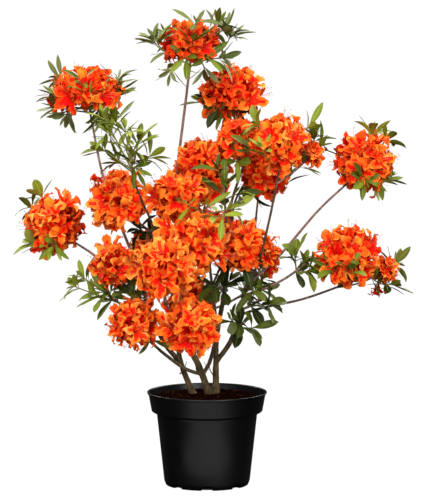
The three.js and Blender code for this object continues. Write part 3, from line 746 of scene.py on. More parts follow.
def makeWood():
    stems, boughs = newHeap(), newHeap()
    oldWood = [name for name in limbPlans if name.startswith("stem")] + ["bough_low_left"]
    for name, plan in limbPlans.items():
        kind, heap = ("stem", stems) if name in oldWood else ("bough", boughs)
        sides, step, ridges = (woodLook[kind + key] for key in ("Sides", "Step", "Ridges"))
        path = smoothPath(plan["path"], step)
        radii = limbRadii(path, plan["foot"], plan["tip"], plan["flare"])
        draw = randomFrom(name + " bark")
        # a fork starts inside its parent, so its foot swells into a collar there
        if plan["parent"]:
            fade = np.exp(-np.arange(len(path)) * step / woodLook["collarLength"])
            radii = radii * (1 + woodLook["collar"] * fade)
        isBrown = kind == "bough" and name not in woodLook["young"]
        addTube(heap, path, radii, sides, int(isBrown), barkRelief(ridges, draw(0, 6)))
        addBuds(heap, path, radii, draw)
    for points, radius in woodLook["deadTwigs"]:
        path = smoothPath(points, 2.5)
        addTube(stems, path, np.linspace(radius, 0.5, len(path)), 6, relief=barkRelief(0.08, radius))
    stemPiece = makePiece("barkStems", stems, [barks["oldBark"]])
    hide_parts(*oldWood)
    boughPiece = makePiece("barkBoughs", boughs, [barks["youngBark"], barks["brownBark"]])
    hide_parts(*[name for name in limbPlans if name not in oldWood])


makeWood()
print("stems and boughs made")


# what a mass has where its own row says nothing else
usualMass = {
    # its flowers: how much painted light lifts their tint, how far down they look and how wide they open
    "light": 0, "dome": 1, "bloom": 1,
    # its leaves: how many stand below the flowers, and the size, number and broad share of them all
    "under": 2, "leaf": 1, "more": 1.3, "broad": 0,
    # its coarse and fine sprays: where each ends, from the middle, and how many leaves it has
    "sprays": [], "finer": [],
    # its flowers apart from the truss, fresh ones and ones that are over
    "beside": [], "faded": [],
}


def growsOn(limb, along, middle, size, flowers, tone, **own):
    # size is half the width and half the height, and tone is that of the leaves
    return {**usualMass, "limb": limb, "along": along, "middle": Vector(middle), "size": size,
            "flowers": flowers, "tone": tone, **own}


massPlans = {
    "top_truss": growsOn("bough_top", 1, (-29, 30, 850), (58, 44), 8, "grey", light=-0.35, under=4, dome=0.3,
        bloom=1.02, leaf=0.98, more=2.1, sprays=[(-66, -8, 0, 5), (74, 14, 12, 6), (58, -16, -32, 4),
        (-40, -18, -58, 3), (24, 26, -58, 3), (0, -44, 2, 4)], finer=[(-72, -20, 4, 4), (30, -34, -30, 2),
        (-12, -46, -30, 2), (50, 12, 34, 4), (-50, 24, 8, 3), (8, -32, 36, 2), (64, -6, 22, 3)]),
    "high_truss": growsOn("bough_high", 1, (46, 100, 755), (64, 50), 9, "dark", light=0.12, under=3,
        bloom=1.06, more=1.6, broad=0.6, sprays=[(-22, -34, -36, 4), (-12, 40, -34, 3)],
        finer=[(-54, 4, -22, 4), (2, -34, -42, 3)]),
    "upper_left_truss": growsOn("bough_upper_left", 1, (-230, 42, 754), (66, 44), 9, "grey", light=0.2,
        under=3, dome=0.1, bloom=1.14, leaf=0.95, more=2.1, sprays=[(-62, -4, -6, 5), (-54, 24, 24, 3),
        (58, 12, -2, 6), (28, -30, -42, 5), (8, -56, -2, 3)], finer=[(-60, 6, -30, 4), (60, -10, 20, 4),
        (34, 30, -30, 4), (-8, -40, 26, 2), (-38, -20, -44, 4), (30, -26, -54, 4)]),
    "leafy_shoot": growsOn("bough_leafy", 1, (-140, -132, 648), (50, 50), 0, "fresh", under=3, leaf=0.95,
        more=1.7, sprays=[(-42, -18, 36, 5), (-12, -8, 42, 5), (34, 24, -8, 5), (-28, 16, -16, 4)],
        finer=[(14, -6, 24, 5), (-56, -6, 8, 4), (-30, -12, 62, 4), (8, -10, -28, 4), (-50, -12, 66, 4)]),
    "upper_right_truss": growsOn("bough_upper_right", 1, (138, -62, 668), (55, 55), 9, "fresh", light=0.72,
        under=3, more=1.3, broad=0.5, sprays=[(-46, -18, 28, 4), (56, 30, 22, 5), (-34, -50, -16, 4)],
        finer=[(66, 24, 4, 4)]),
    "right_side_truss": growsOn("bough_upper_right", 0.86, (196, -50, 640), (26, 26), 3, "olive", light=0.6,
        sprays=[(20, 8, 14, 4)]),
    "inner_high_truss": growsOn("bough_high", 0.55, (62, 0, 666), (48, 46), 7, "olive", light=0.25, broad=0.4,
        sprays=[(18, -40, -16, 4)], finer=[(-6, -24, -40, 3)]),
    "mid_right_truss": growsOn("bough_mid_right", 1, (112, 88, 592), (50, 44), 8, "dark", light=0.35,
        broad=0.4, sprays=[(-28, -22, -34, 3), (46, 18, -12, 4)]),
    "centre_high_truss": growsOn("bough_centre_high", 1, (-6, 20, 622), (56, 44), 8, "olive", light=0.36,
        under=3, beside=[(12, -42, -38), (24, -46, -56), (-8, -44, -50)]),
    "centre_truss": growsOn("bough_centre_high", 0.62, (-62, -62, 566), (55, 47), 8, "olive", light=0.48),
    "centre_leaf_shoot": growsOn("stem_right", 0.84, (32, -70, 580), (40, 40), 0, "mid", leaf=1.2, more=0.62,
        broad=0.4, sprays=[(-10, 0, 30, 4), (26, 6, -14, 4)]),
    "front_leaf_shoot": growsOn("bough_centre_high", 0.3, (0, -96, 545), (40, 20), 0, "fresh", under=0,
        leaf=1.2, more=0.75, broad=0.4, sprays=[(-36, -8, 4, 4), (44, 0, -6, 4)], finer=[(30, -54, -14, 3)]),
    "left_centre_truss": growsOn("bough_left_centre", 1, (-172, -72, 553), (57, 53), 9, "fresh", light=0.72,
        dome=0.8, bloom=0.98),
    "dark_leaf_shoot": growsOn("bough_leafy", 0.32, (-112, -30, 492), (30, 30), 0, "dark", under=3, broad=0.4,
        sprays=[(-16, 20, 0, 3)]),
    "left_truss": growsOn("bough_left", 1, (-297, 22, 506), (57, 57), 9, "fresh", light=0.42, bloom=1.07,
        more=1.7, broad=0.45, sprays=[(-36, -12, -42, 5), (6, -38, -42, 4), (-22, 10, 50, 3),
        (-44, 26, 24, 3)]),
    "right_truss": growsOn("bough_right", 1, (305, 42, 624), (59, 57), 9, "fresh", light=0.38, bloom=1.09,
        more=1.6, broad=0.5, sprays=[(38, -14, -38, 5), (-6, -42, -36, 4), (12, 10, 50, 3), (40, 24, 34, 3)],
        finer=[(20, -20, -50, 3)]),
    "inner_left_truss": growsOn("stem_outer_left", 0.86, (-178, -108, 440), (46, 52), 8, "olive", light=0.5,
        bloom=0.91),
    "front_truss": growsOn("stem_middle", 0.7, (-80, -212, 444), (63, 58), 9, "dark", light=1.06),
    "centre_front_truss": growsOn("stem_middle", 0.96, (-17, -114, 487), (58, 53), 9, "dark", light=0.75,
        bloom=1.06, broad=0.5, beside=[(-60, -20, 20), (-50, -34, -2), (48, 4, -34)]),
    "centre_right_truss": growsOn("stem_right", 0.8, (69, -46, 470), (48, 52), 8, "dark", light=0.68,
        broad=0.7),
    "hanging_truss": growsOn("bough_right", 0.1, (112, 0, 446), (32, 42), 5, "dark", light=1.25, broad=0.7),
    "lower_right_truss": growsOn("bough_lower_right", 1, (265, -60, 455), (58, 58), 9, "mid", light=0.7,
        under=3, bloom=1.08, more=1.05, broad=0.85, sprays=[(-26, -30, -30, 4), (8, -54, -28, 4)]),
    "right_end_truss": growsOn("bough_lower_right", 0.93, (338, 4, 414), (28, 26), 4, "olive", light=0.3,
        under=3, more=1.5, broad=0.5, sprays=[(14, 10, -28, 4), (22, 12, 8, 4)], faded=[(-11, -6, -34),
        (-17, -4, -45), (-8, -2, -42)]),
    "right_leaf_shoot": growsOn("stem_far_right", 0.9, (186, -78, 436), (34, 30), 0, "mid", broad=0.9,
        sprays=[(-20, 0, 14, 4), (8, -8, -16, 3)]),
    "lower_left_truss": growsOn("bough_low_left", 1, (-138, -146, 334), (54, 50), 9, "olive", light=0.52,
        dome=0.7, bloom=0.93, sprays=[(34, 34, -40, 2)]),
    "lower_front_truss": growsOn("stem_middle", 0.5, (-28, -212, 334), (60, 53), 9, "dark", light=0.68,
        dome=0.6, bloom=0.94),
    "left_leaf_shoot": growsOn("stem_outer_left", 0.56, (-196, -62, 380), (50, 36), 0, "fresh", under=3,
        leaf=1.05, more=1.25, broad=0.3, sprays=[(-36, 8, 24, 5), (-12, -6, -10, 4)], finer=[(-52, 2, 8, 4),
        (10, -4, -2, 4), (38, -10, 2, 4)]),
    "low_leaf_shoot": growsOn("stem_outer_left", 0.44, (-120, -76, 388), (30, 20), 0, "dark", under=3,
        broad=0.5, finer=[(-16, -22, -8, 4)]),
    "inner_leaves": growsOn("stem_right", 0.62, (28, -30, 386), (36, 30), 0, "dark", under=4, more=0.9,
        broad=0.6, sprays=[(-16, -30, 6, 4), (14, 34, 6, 4)]),
    "right_leaves": growsOn("stem_far_right", 0.74, (100, -60, 366), (40, 36), 0, "dark", under=4, leaf=1.1,
        more=0.82, broad=0.85, sprays=[(18, -8, -10, 5), (-14, -14, 18, 4)]),
    "low_right_leaves": growsOn("stem_far_right", 0.5, (66, -84, 322), (40, 30), 0, "dark", under=3, leaf=1.1,
        more=0.78, broad=0.85, sprays=[(-20, -10, 8, 4), (20, -6, -8, 4)]),
    "back_truss": growsOn("stem_back", 0.97, (4, 206, 470), (56, 50), 9, "olive", light=0.4, under=3,
        broad=0.4, sprays=[(0, 44, -36, 4)]),
    "back_high_truss": growsOn("bough_back_high", 1, (-26, 158, 572), (54, 48), 9, "olive", light=0.35,
        under=3, sprays=[(-20, 40, -30, 3)]),
    "back_right_truss": growsOn("bough_back_right", 1, (100, 196, 638), (52, 46), 9, "mid", light=0.3,
        under=3, broad=0.3, sprays=[(26, 40, -26, 4)]),
    "back_left_truss": growsOn("stem_back", 0.8, (-104, 126, 448), (54, 50), 9, "mid", light=0.45, under=3,
        bloom=0.9, broad=0.3, sprays=[(-30, 36, -24, 4)]),
    "back_low_truss": growsOn("stem_back", 0.5, (-34, 132, 346), (50, 44), 8, "dark", light=0.5, under=3,
        broad=0.6, sprays=[(-10, 40, -30, 4)]),
    "back_leaf_shoot": growsOn("stem_back", 0.66, (92, 118, 372), (40, 36), 0, "mid", under=4, broad=0.7,
        sprays=[(18, 24, 10, 4), (16, -24, -4, 4)]),
    "back_left_high_truss": growsOn("bough_upper_left", 0.46, (-176, 96, 556), (50, 48), 8, "olive",
        light=0.4, under=3, sprays=[(-10, 44, -26, 4)]),
}

# how a mass grows, as in the part's source
growth = {
    # how far out its flowers stand and reach, before it is resized
    "reach": 45, "across": 51,
    # how much its axis turns up, its core sinks and its stem bends
    "rise": 0.25, "coreDrop": 0.15, "knee": 0.45,
    # its stem's foot, as a share of the limb's radius at the tip or the side, and the stem's tip
    "atTip": 0.98, "atSide": 0.72, "stemTip": 2.2,
    "highest": 912, "clearOfPetals": 10, "nodeBelow": 22, "leafSpacing": 2.6, "forkSpacing": 4.5,
}

faceTurn = 2 * math.pi / 5


def polar(lean, turn):
    return Vector((math.sin(lean) * math.cos(turn), math.sin(lean) * math.sin(turn), math.cos(lean)))


def faceWay(face):
    # twelve even ways out from the middle of a truss
    if face == 0:
        return upwards
    lean = math.atan(2)
    if face < 6:
        return polar(lean, (face - 1) * faceTurn)
    if face < 11:
        return polar(math.pi - lean, (face - 5.5) * faceTurn)
    return -upwards


def frameMass(name, plan):
    # where a mass stands on its limb: its own stem, the node of its first leaves, and the core of its flowers
    limb, along, middle = limbPlans[plan["limb"]], plan["along"], plan["middle"]
    foot = pathPoint(limbPaths[plan["limb"]], along)
    axis = (middle - foot).normalized().lerp(upwards, growth["rise"]).normalized()
    core = middle + axis * (-growth["coreDrop"] * plan["size"][1] if plan["flowers"] else 0)
    share = growth["atTip" if along == 1 else "atSide"]
    radius = (limb["foot"] + (limb["tip"] - limb["foot"]) * along) * share
    if along == 1:
        path = evenly([foot, core], 3)
        nodeAt = 1 - min(0.4, growth["nodeBelow"] / pathLength(path))
        node, nodeWay = foot.lerp(core, nodeAt), (core - foot).normalized()
    else:
        knee = core - axis * growth["knee"] * (core - foot).length
        path = bendPath(foot, knee, core)
        nodeAt = 1 - min(0.4, growth["nodeBelow"] / pathLength(path))
        early, late = foot.lerp(knee, nodeAt), knee.lerp(core, nodeAt)
        node, nodeWay = early.lerp(late, nodeAt), (late - early).normalized()
    draw = randomFrom(name)
    way, side, normal = axesAlong(axis, Vector((draw() - 0.5, draw() - 0.5, 0.2)))
    wide, tall = (half / growth["across"] for half in plan["size"])
    turned = Matrix((side, normal, way)).transposed().to_4x4()
    place = Matrix.Translation(core) @ Matrix.Diagonal((wide, wide, tall, 1)) @ turned
    return {"name": name, "plan": plan, "axis": axis, "core": core, "node": node, "nodeWay": nodeWay,
            "place": place, "sizes": [0.92 + 0.14 * draw() for _ in range(12)], "path": path,
            "radius": radius, "draw": randomFrom(name + " fine")}


masses = [frameMass(name, plan) for name, plan in massPlans.items()]


flowerLook = {
    "forms": 14, "across": 8, "along": 13, "innerAcross": 6, "innerAlong": 10,
    "width": 52, "tube": 30.0, "filaments": 5, "filamentRadius": 0.45, "apart": 22,
    "innerDepth": 0.78, "innerScale": 0.90, "innerStamens": 0.3, "outerTilt": 0.36, "innerTilt": 0.5,
    "stalkFoot": 1.3, "stalkTop": 1.5, "fadedTop": 0.9,
    # what goes into a flower's tint: painted light and shade, from the light on its truss and how far it
    # looks up, and chance
    "byLight": 0.62, "byRise": 0.12, "byChance": 0.84, "darker": 0.20, "tintSteps": 3.4,
    # five tints from deep red to light orange, a flower's step set by painted light and shade and by chance;
    # each has three colours from the throat out to the margin
    "tints": {
        "dusky": [(0.58, 0.006, 0.003), (0.60, 0.054, 0.005), (0.66, 0.118, 0.015)],
        "red": [(0.76, 0.006, 0.003), (0.81, 0.047, 0.005), (0.85, 0.102, 0.010)],
        "orange": [(0.83, 0.009, 0.004), (0.88, 0.096, 0.007), (0.90, 0.170, 0.016)],
        "bright": [(0.88, 0.014, 0.004), (0.91, 0.142, 0.010), (0.92, 0.246, 0.032)],
        "light": [(0.90, 0.024, 0.005), (0.92, 0.200, 0.018), (0.92, 0.315, 0.062)],
    },
    "flare": (0.92, 0.210, 0.015),
    "stamen": (0.66, 0.130, 0.075), "anther": (0.16, 0.065, 0.025), "stalk": (0.20, 0.17, 0.035),
    "roughness": 0.62, "shine": 0.04,
}

petalLine = {
    # down the middle of a petal: distance from the flower's axis, height over the rim, and half width
    "at": [0, 0.20, 0.38, 0.52, 0.66, 0.80, 0.91, 1.0],
    "radius": [2.2, 3.6, 7.0, 12.2, 18.4, 24.6, 29.2, 32.6],
    "height": [-30, -18.5, -8.0, -1.5, 3.0, 5.6, 5.8, 4.0],
    "half": [1.5, 2.5, 4.6, 7.5, 9.5, 8.7, 5.3, 0.6],
}


def petalSheet(draw, columns, rows):
    # one petal: it starts in the tube, flares into a pointed lobe, and is crimped along its edge
    t = np.concatenate([[0, 0.2], np.linspace(0.36, 1, rows - 2)])[:, None]    # few cuts in the tube
    s = np.linspace(-1, 1, columns)[None, :]
    s = np.sign(s) * np.abs(s) ** 0.8
    r, z, half = (np.interp(t, petalLine["at"], petalLine[key]) for key in ("radius", "height", "half"))
    half = half * draw(0.88, 1.10)
    opening = np.clip((t - 0.34) / 0.5, 0, 1)
    # the whole lobe leans forward or back, and its end rolls
    lean = draw(-0.55, 0.42)
    reach = (r - 7) * opening
    z = z + math.sin(lean) * reach - draw(-2, 9) * np.clip((t - 0.66) / 0.34, 0, 1) ** 2
    r = (r - (1 - math.cos(lean)) * reach) * draw(0.90, 1.05)
    edge = np.abs(s) ** 1.3 * opening
    crimp = draw(2.0, 4.4) * np.sin(t * draw(11, 19) + np.sign(s) * draw(0.4, 2.4) + draw(0, anyTurn)) * edge
    crimp = crimp + draw(0.9, 2.0) * np.sin(t * draw(26, 36) + s * draw(5, 9)) * opening * np.abs(s)
    fold = draw(-1.2, 3.2) * np.abs(s) ** 1.6 * opening - 1.4 * np.exp(-(s / 0.22) ** 2) * opening
    overlap = 1.6 * s * opening
    ragged = 1 + 0.25 * np.sin(t * draw(15, 26) + np.sign(s) * 1.7 + draw(0, anyTurn)) * opening * np.abs(s)
    twist = draw(-0.35, 0.35) * opening * s * half * 0.5
    angle = s * half * ragged / np.maximum(r, 4)
    x = r * np.cos(angle)
    y = r * np.sin(angle) + draw(-3.0, 3.0) * opening * t
    points = np.stack([x, y, z + crimp + fold + overlap + twist], 2).reshape(-1, 3)
    faces = gridFaces(rows, columns)
    row, column = np.divmod(np.arange(len(faces)), columns - 1)
    middleT = (t[row, 0] + t[row + 1, 0]) / 2
    middleS = np.abs(s[0, column] + s[0, column + 1]) / 2
    zone = np.ones(len(faces), int)
    zone[middleT < draw(0.44, 0.68)] = 0
    zone[(middleT < draw(0.6, 0.85)) & (middleS < 0.25)] = 0
    # some petals are lighter at the margin, some at one side or the tip, and some are not
    kind = draw()
    if kind < 0.5:
        zone[(middleT > 0.86) | ((middleS > 0.7) & (middleT > 0.52))] = 2
    elif kind < 0.8:
        zone[(middleT > 0.5) & (column > (columns - 1) * draw(0.45, 0.75))] = 2
    return points, faces, zone


def makeFlower(draw, across, along, withFlare):
    # five petals; each face gets its zone, and each petal may be a shade lighter or deeper than the flower
    heap = newHeap()
    for petal in range(5):
        points, faces, zone = petalSheet(draw, across + 1, along + 1)
        if petal == 0 and withFlare:
            row, column = np.divmod(np.arange(len(faces)), across)
            zone[(row > along * 0.45) & (row < along * 0.8) & (column > 1) & (column < across - 2)] = 3
        shade = int(draw(0, 2.99))
        turn = Matrix.Rotation(petal * faceTurn + draw(-0.14, 0.14), 4, "Z")
        pile(heap, placed(points, turn), faces, zone + 10 * shade)
    return joined(heap)


def makeStamens(draw):
    # filaments stand out of the throat and sweep up towards the petal with the flare
    heap = newHeap()
    for q in range(flowerLook["filaments"]):
        around = draw(0, anyTurn)
        lean = draw(0.10, 0.34)
        length = draw(38, 48) * (1.12 if q == 0 else 1)
        start = Vector((1.4 * math.cos(around), 1.4 * math.sin(around), -26))
        out = polar(lean, around)
        end = start + out * length + Vector((draw(4, 12), draw(-3, 3), 0))
        path = bendPath(start, start + Vector((out.x * 4, out.y * 4, length * 0.62)), end, length / 6)
        addTube(heap, path, np.linspace(flowerLook["filamentRadius"], 0.28, len(path)), 3)
        # all but the first carry an anther
        if q:
            turn = setDown(end, Matrix.Rotation(draw(0, 1.5), 4, "X"))
            pile(heap, placed(lumpPoints(), turn @ Matrix.Diagonal((0.8, 0.8, 1.6, 1))), lumpFaces, 1)
    return joined(heap)


def tonedMaterials(look, tones, kinds):
    # one material for each kind of each tone, in that order
    return [plainMaterial(tone + kind, colour, look["roughness"], look["shine"])
            for tone, colours in tones.items() for kind, colour in zip(kinds, colours)]


limbPoints = np.vstack(list(limbPaths.values()))


def nearLimb(point, limit):
    return np.min(np.linalg.norm(limbPoints - np.array(point), axis=1)) < limit


def flowerSpots(mass):
    # the ways that the source opens its flowers, and then the corners between them, set deeper
    plan, draw = mass["plan"], mass["draw"]
    spots = []
    for face in range(min(11, plan["flowers"] + 2)):
        spots.append((faceWay(face), mass["sizes"][face] * draw(0.92, 1.02), True))
    rows = [math.radians(lean) for lean in (37.38, 79.19, 100.81, 142.62)]
    for row, lean in enumerate(rows[:4 if plan["flowers"] > 7 else 3]):
        for step in range(5):
            lift = lean + draw(-0.1, 0.1)
            turn = (step + (0.5 if row < 2 else 0)) * faceTurn + draw(-0.15, 0.15)
            spots.append((polar(lift, turn), flowerLook["innerDepth"] * draw(0.92, 1.06), False))
    # a dome has a flat underside, so its lower flowers look sideways
    return [(Vector((way.x, way.y, way.z * (plan["dome"] if way.z < 0 else 1))).normalized(), share, isOuter)
            for way, share, isOuter in spots]


def openFlower(heaps, forms, mass, centre, facing, size, rise=0.0, isOuter=True, stalkFrom=0.0):
    # rise is how much the flower looks up, and stalkFrom is how far out of the core its stalk starts
    look, draw, core = flowerLook, mass["draw"], mass["core"]
    # the petal with the flare points up, give or take
    turn = setDown(centre, turnTo(facing, upwards, math.pi / 2 + draw(-0.9, 0.9)), size)
    form = int(draw(0, look["forms"] - 0.01))
    points, faces, zone = forms["outer" if isOuter else "inner"][form]
    # painted light and shade: flowers deep inside the truss or looking down get deeper red tints, outer ones
    # looking up and those on trusses in more light get lighter tints
    light = look["byLight"] * mass["plan"]["light"] + look["byRise"] * (rise + 1) / 2
    light += look["byChance"] * draw() - look["darker"]
    shade, zone = np.divmod(zone, 10)
    tint = int(round(look["tintSteps"] * light + (0.7 if isOuter else -0.2))) + shade - 1
    tint = np.clip(tint, 0, len(look["tints"]) - 1)
    pile(heaps["petals"], placed(points, turn), faces, zone + 4 * tint)
    if isOuter or draw() < look["innerStamens"]:
        points, faces, slots = forms["stamens"][form]
        pile(heaps["stamens"], placed(points, turn), faces, slots)
    base = turn @ Vector((0, 0, 1 - look["tube"]))
    start = core + (base - core) * stalkFrom
    path = bendPath(start, start.lerp(base, 0.6) + Vector((0, 0, -2)), base, 4)
    addTube(heaps["stalks"], path, np.linspace(look["stalkFoot"], look["stalkTop"], len(path)), 5)


def hangFaded(heaps, forms, mass, offset):
    # a flower that is over hangs small and dark
    look, draw, core = flowerLook, mass["draw"], mass["core"]
    base = mass["plan"]["middle"] + Vector(offset)
    facing = Vector((draw(-0.4, 0.4), draw(-0.5, 0.1), -1))
    turn = setDown(base, turnTo(facing, Vector((0, 1, 0)), draw(0, 6)), draw(0.38, 0.46))
    points, faces, zone = forms["inner"][int(draw(0, look["forms"] - 0.01))]
    pile(heaps["petals"], placed(points, turn), faces)
    end = turn @ Vector((0, 0, -look["tube"]))
    path = bendPath(core, core.lerp(base, 0.4) + Vector((0, -6, 0)), end, 4)
    addTube(heaps["stalks"], path, np.linspace(look["stalkFoot"], look["fadedTop"], len(path)), 5)


def openTruss(heaps, forms, mass, others):
    # keeps clear of the flowers of other trusses, and gives back where its own stand
    look, plan, draw, place = flowerLook, mass["plan"], mass["draw"], mass["place"]
    scale = 0.5 * sum(plan["size"]) / look["width"] * plan["bloom"]
    centres = []
    for local, share, isOuter in flowerSpots(mass):
        way = (place.to_3x3() @ local).normalized()
        centre = place @ (local * growth["reach"] * share * plan["bloom"]) - way * 4 * scale
        if nearLimb(centre + way * 4, 10) or nearLimb(centre.lerp(mass["core"], 0.35), 5):
            continue
        if any((centre - other).length < look["apart"] for other in others):
            continue
        tilt = Vector((draw(-1, 1), draw(-1, 1), draw(-0.6, 1)))
        tilt *= look["outerTilt" if isOuter else "innerTilt"]
        size = draw(0.90, 1.08) * min(1.08, max(0.62, scale)) * (1 if isOuter else look["innerScale"])
        openFlower(heaps, forms, mass, centre, (way + tilt).normalized(), size, way.z, isOuter, 0.05)
        centres.append(centre)
    # a few flowers open beside the truss, on longer stalks
    for offset in plan["beside"]:
        tilt = Vector((draw(-0.3, 0.3), -0.5, draw(-0.1, 0.4)))
        facing = (Vector(offset).normalized() + tilt).normalized()
        centre = plan["middle"] + Vector(offset)
        openFlower(heaps, forms, mass, centre, facing, draw(0.92, 1.04) * min(1.0, scale))
        centres.append(centre)
    for offset in plan["faded"]:
        hangFaded(heaps, forms, mass, offset)
    return centres


def makeBlossom():
    look = flowerLook
    cuts = {"outer": (look["across"], look["along"]), "inner": (look["innerAcross"], look["innerAlong"])}
    forms = {"outer": [], "inner": [], "stamens": []}
    for k in range(look["forms"]):
        forms["outer"].append(makeFlower(randomFrom(f"flower {k}"), *cuts["outer"], k % 2 == 0))
        forms["inner"].append(makeFlower(randomFrom(f"inner flower {k}"), *cuts["inner"], False))
        forms["stamens"].append(makeStamens(randomFrom(f"stamens {k}")))
    tints = {tint: [*colours, look["flare"]] for tint, colours in look["tints"].items()}
    petalMaterials = tonedMaterials(look, tints, ("Throat", "Petal", "Margin", "Flare"))
    bearing = sorted((m for m in masses if m["plan"]["flowers"]), key=lambda m: -m["plan"]["middle"].z)
    parts = {"Top": bearing[:8], "Upper": bearing[8:15], "Middle": bearing[15:22], "Lower": bearing[22:]}
    heaps = {"stamens": newHeap(), "stalks": newHeap()}
    centres = []
    for label, part in parts.items():
        heaps["petals"] = newHeap()
        for mass in part:
            centres += openTruss(heaps, forms, mass, centres)
        piece = makePiece("blossom" + label, heaps["petals"], petalMaterials)
        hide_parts(*[m["name"] for m in part])
    filament = plainMaterial("filament", look["stamen"], 0.6, 0.1)
    anther = plainMaterial("anther", look["anther"], 0.7, 0.1)
    makePiece("blossomStamens", heaps["stamens"], [filament, anther])
    stalk = plainMaterial("flowerStalk", look["stalk"], 0.6, 0.15)
    makePiece("blossomStalks", heaps["stalks"], [stalk])
    print("flowers:", len(centres))


makeBlossom()
print("blossom made")


leafLook = {
    "forms": 8,
    "outlineAt": [0, 0.07, 0.2, 0.38, 0.55, 0.72, 0.87, 0.96, 1.0],
    "narrow": {"length": 52.0, "width": 12.5,
               "outline": [0.07, 0.10, 0.42, 0.84, 1.0, 0.92, 0.60, 0.26, 0.03]},
    "broad": {"length": 47.0, "width": 18.5,
              "outline": [0.08, 0.12, 0.44, 0.82, 1.0, 0.96, 0.68, 0.31, 0.03]},
    # three colours for the leaves of each tone, and the colour of their midribs
    "tones": {
        "fresh": [(0.205, 0.245, 0.018), (0.155, 0.200, 0.014), (0.260, 0.290, 0.040), (0.33, 0.36, 0.09)],
        "mid": [(0.105, 0.140, 0.009), (0.150, 0.185, 0.013), (0.070, 0.096, 0.007), (0.20, 0.24, 0.05)],
        "olive": [(0.115, 0.135, 0.020), (0.082, 0.100, 0.014), (0.160, 0.185, 0.036), (0.22, 0.25, 0.07)],
        "grey": [(0.128, 0.162, 0.038), (0.082, 0.108, 0.022), (0.190, 0.222, 0.074), (0.23, 0.25, 0.12)],
        "dark": [(0.018, 0.027, 0.004), (0.038, 0.053, 0.006), (0.074, 0.098, 0.009), (0.10, 0.125, 0.025)],
    },
    # about a third of the sprays take the tone beside their own, and the whorl under the flowers always does:
    # mostly a deeper tone, as painted shade beneath the truss
    "own": 0.68, "besides": {"fresh": "mid", "mid": "dark", "olive": "mid", "grey": "mid", "dark": "dark"},
    "twigGreen": (0.17, 0.16, 0.035), "roughness": 0.46, "shine": 0.10,
    # the sizes of full leaves, of young ones and of those set singly
    "full": (0.72, 1.10), "young": (0.40, 0.62), "single": (0.55, 0.85),
    # how far each leaf of a whorl turns from the last, and how far the whorl runs down its shoot
    "turnBy": 2.4, "whorlLength": 11,
}


def leafSheet(draw, shape, rows=10):
    # a leaf with a folded midrib, a drooping tip and a slightly waved edge
    t = np.linspace(0, 1, rows)[:, None]
    s = np.array([-1, -0.52, -0.06, 0.06, 0.52, 1])[None, :]
    outline = np.interp(t, leafLook["outlineAt"], shape["outline"])
    half = shape["width"] / 2 * outline
    length = shape["length"]
    bend = draw(0.05, 0.95) * (1 if draw() < 0.85 else -0.5)
    x = length * np.sin(bend * t) / bend
    drop = -length * (1 - np.cos(bend * t)) / bend
    z = drop + draw(0.12, 0.55) * np.abs(s) * half
    z = z + draw(0.2, 1.2) * np.sin(t * draw(7, 12) + np.sign(s) + draw(0, anyTurn)) * np.abs(s) * outline
    y = s * half + draw(-4, 4) * t * t
    points = np.stack([x + 0 * s, y, z], 2).reshape(-1, 3)
    faces = gridFaces(rows, 6)
    isRib = np.arange(len(faces)) % 5 == 2
    return points, faces, isRib


leafForms = {
    shape: [leafSheet(randomFrom(f"{shape} leaf {k}"), leafLook[shape]) for k in range(leafLook["forms"])]
    for shape in ("narrow", "broad")}


def addLeaf(heap, root, way, facing, scale, plan, draw):
    roll = Matrix.Rotation(draw(-0.35, 0.35), 4, "X")
    shape = "broad" if draw() < plan["broad"] else "narrow"
    way = way.normalized()
    length = leafLook[shape]["length"] * scale
    if root.z + way.z * length > growth["highest"]:
        # near the top of the plant a leaf leans out where it can't stand up
        rise = max(0, (growth["highest"] - root.z) / length)
        way = Vector((way.x, way.y, 0)).normalized() * math.sqrt(1 - rise * rise) + Vector((0, 0, rise))
    basis = Matrix(axesAlong(way, facing)).transposed().to_4x4()
    points, faces, isRib = leafForms[shape][int(draw(0, leafLook["forms"] - 0.01))]
    tone = 4 * list(leafLook["tones"]).index(plan["tone"])
    slots = np.where(isRib, tone + 3, tone + int(draw(0, 2.99)))
    pile(heap, placed(points, setDown(root, basis @ roll, scale)), faces, slots)


def addWhorl(leaves, end, way, count, spread, plan, draw):
    # a false whorl: full leaves round the last part of the shoot, smaller ones at its very tip
    along, side, normal = axesAlong(way, upwards)
    start = draw(0, anyTurn)
    full = int(round(count * plan["more"]))
    young = max(1, count // 2)
    for i in range(full + young):
        isYoung = i >= full
        angle = start + i * leafLook["turnBy"] + draw(-0.3, 0.3)
        lean = spread * (0.35 if isYoung else 1) * draw(0.75, 1.25)
        out = along * math.cos(lean) + (side * math.cos(angle) + normal * math.sin(angle)) * math.sin(lean)
        root = end - along * (0 if isYoung else 1 + i * leafLook["whorlLength"] / full)
        scale = draw(*leafLook["young" if isYoung else "full"])
        addLeaf(leaves, root, out, along + Vector((0, 0, 0.4)), scale * plan["leaf"], plan, draw)


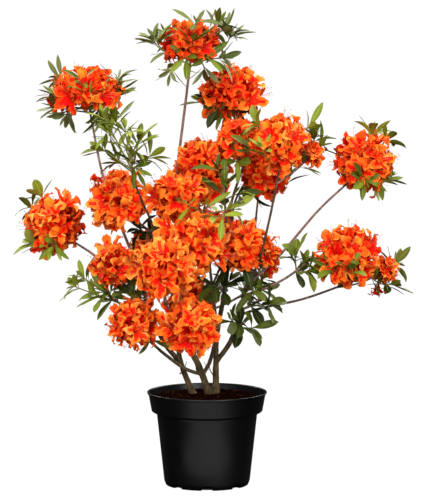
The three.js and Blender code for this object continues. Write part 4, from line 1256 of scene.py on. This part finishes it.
def shootPath(mass, end, index):
    plan, core, axis = mass["plan"], mass["core"], mass["axis"]
    down = plan["under"] * growth["leafSpacing"] + index * growth["forkSpacing"]
    fork = mass["node"] - mass["nodeWay"] * down
    if not plan["flowers"]:
        return evenly([fork, end], 3)
    out = end - core
    ahead = out.dot(axis)
    if ahead > 0.4 * out.length:
        return evenly([core, end + out.normalized() * growth["clearOfPetals"]], 3)
    bend = core + out * 0.9 + axis * (-0.9 * ahead - 0.5 * plan["size"][1])
    return bendPath(fork, bend, end)


def leafMass(leaves, twigs, mass):
    # a truss or a leaf mass: its stem, the leaves below its flowers and all its sprays
    plan, draw, core = mass["plan"], mass["draw"], mass["core"]
    besideToneAndUnderShade = {**plan, "tone": leafLook["besides"][plan["tone"]]}
    # the mass's own stem, from the limb to the flowers or the first leaves
    radii = np.linspace(mass["radius"], growth["stemTip"], len(mass["path"]))
    addTube(twigs, mass["path"], radii, 8, relief=barkRelief(0.06, draw(0, 6)))
    # the whorl under the flowers takes the next, mostly deeper tone: painted shade beneath the truss
    addWhorl(leaves, mass["node"], mass["nodeWay"], plan["under"] + 1, 1.2, besideToneAndUnderShade, draw)
    # the source's sprays, then the finer ones between them
    for index, (*offset, count) in enumerate(plan["sprays"] + plan["finer"]):
        end = Vector(offset) + plan["middle"]
        path = shootPath(mass, end, index if index < len(plan["sprays"]) else index % 3)
        addTube(twigs, path, np.linspace(1.7, 1.1, len(path)), 6, 1)
        way = Vector(path[-1] - path[-2]).normalized()
        own = plan if draw() < leafLook["own"] else besideToneAndUnderShade
        addWhorl(leaves, end, way, count, 0.95, own, draw)
        # up to two leaves set singly down the shoot
        for single in range(2):
            point = pathPoint(path, draw(0.45, 0.8))
            side = Vector((draw(-1, 1), draw(-1, 1), draw(-0.2, 0.8)))
            if (point - core).length > 0.8 * plan["size"][0] or not plan["flowers"]:
                addLeaf(leaves, point, side, upwards, draw(*leafLook["single"]), plan, draw)
    if not plan["flowers"]:
        addWhorl(leaves, core, mass["nodeWay"], 3, 0.8, plan, draw)


def makeFoliage():
    leaves, twigs = newHeap(), newHeap()
    for mass in masses:
        leafMass(leaves, twigs, mass)
    materials = tonedMaterials(leafLook, leafLook["tones"], ("Leaf1", "Leaf2", "Leaf3", "Midrib"))
    piece = makePiece("leaves", leaves, materials)
    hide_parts(*[m["name"] for m in masses if not m["plan"]["flowers"]])
    greenShoot = plainMaterial("greenShoot", leafLook["twigGreen"], 0.6, 0.2)
    makePiece("twigs", twigs, [barks["youngBark"], greenShoot])


makeFoliage()
print("leaves and twigs made")
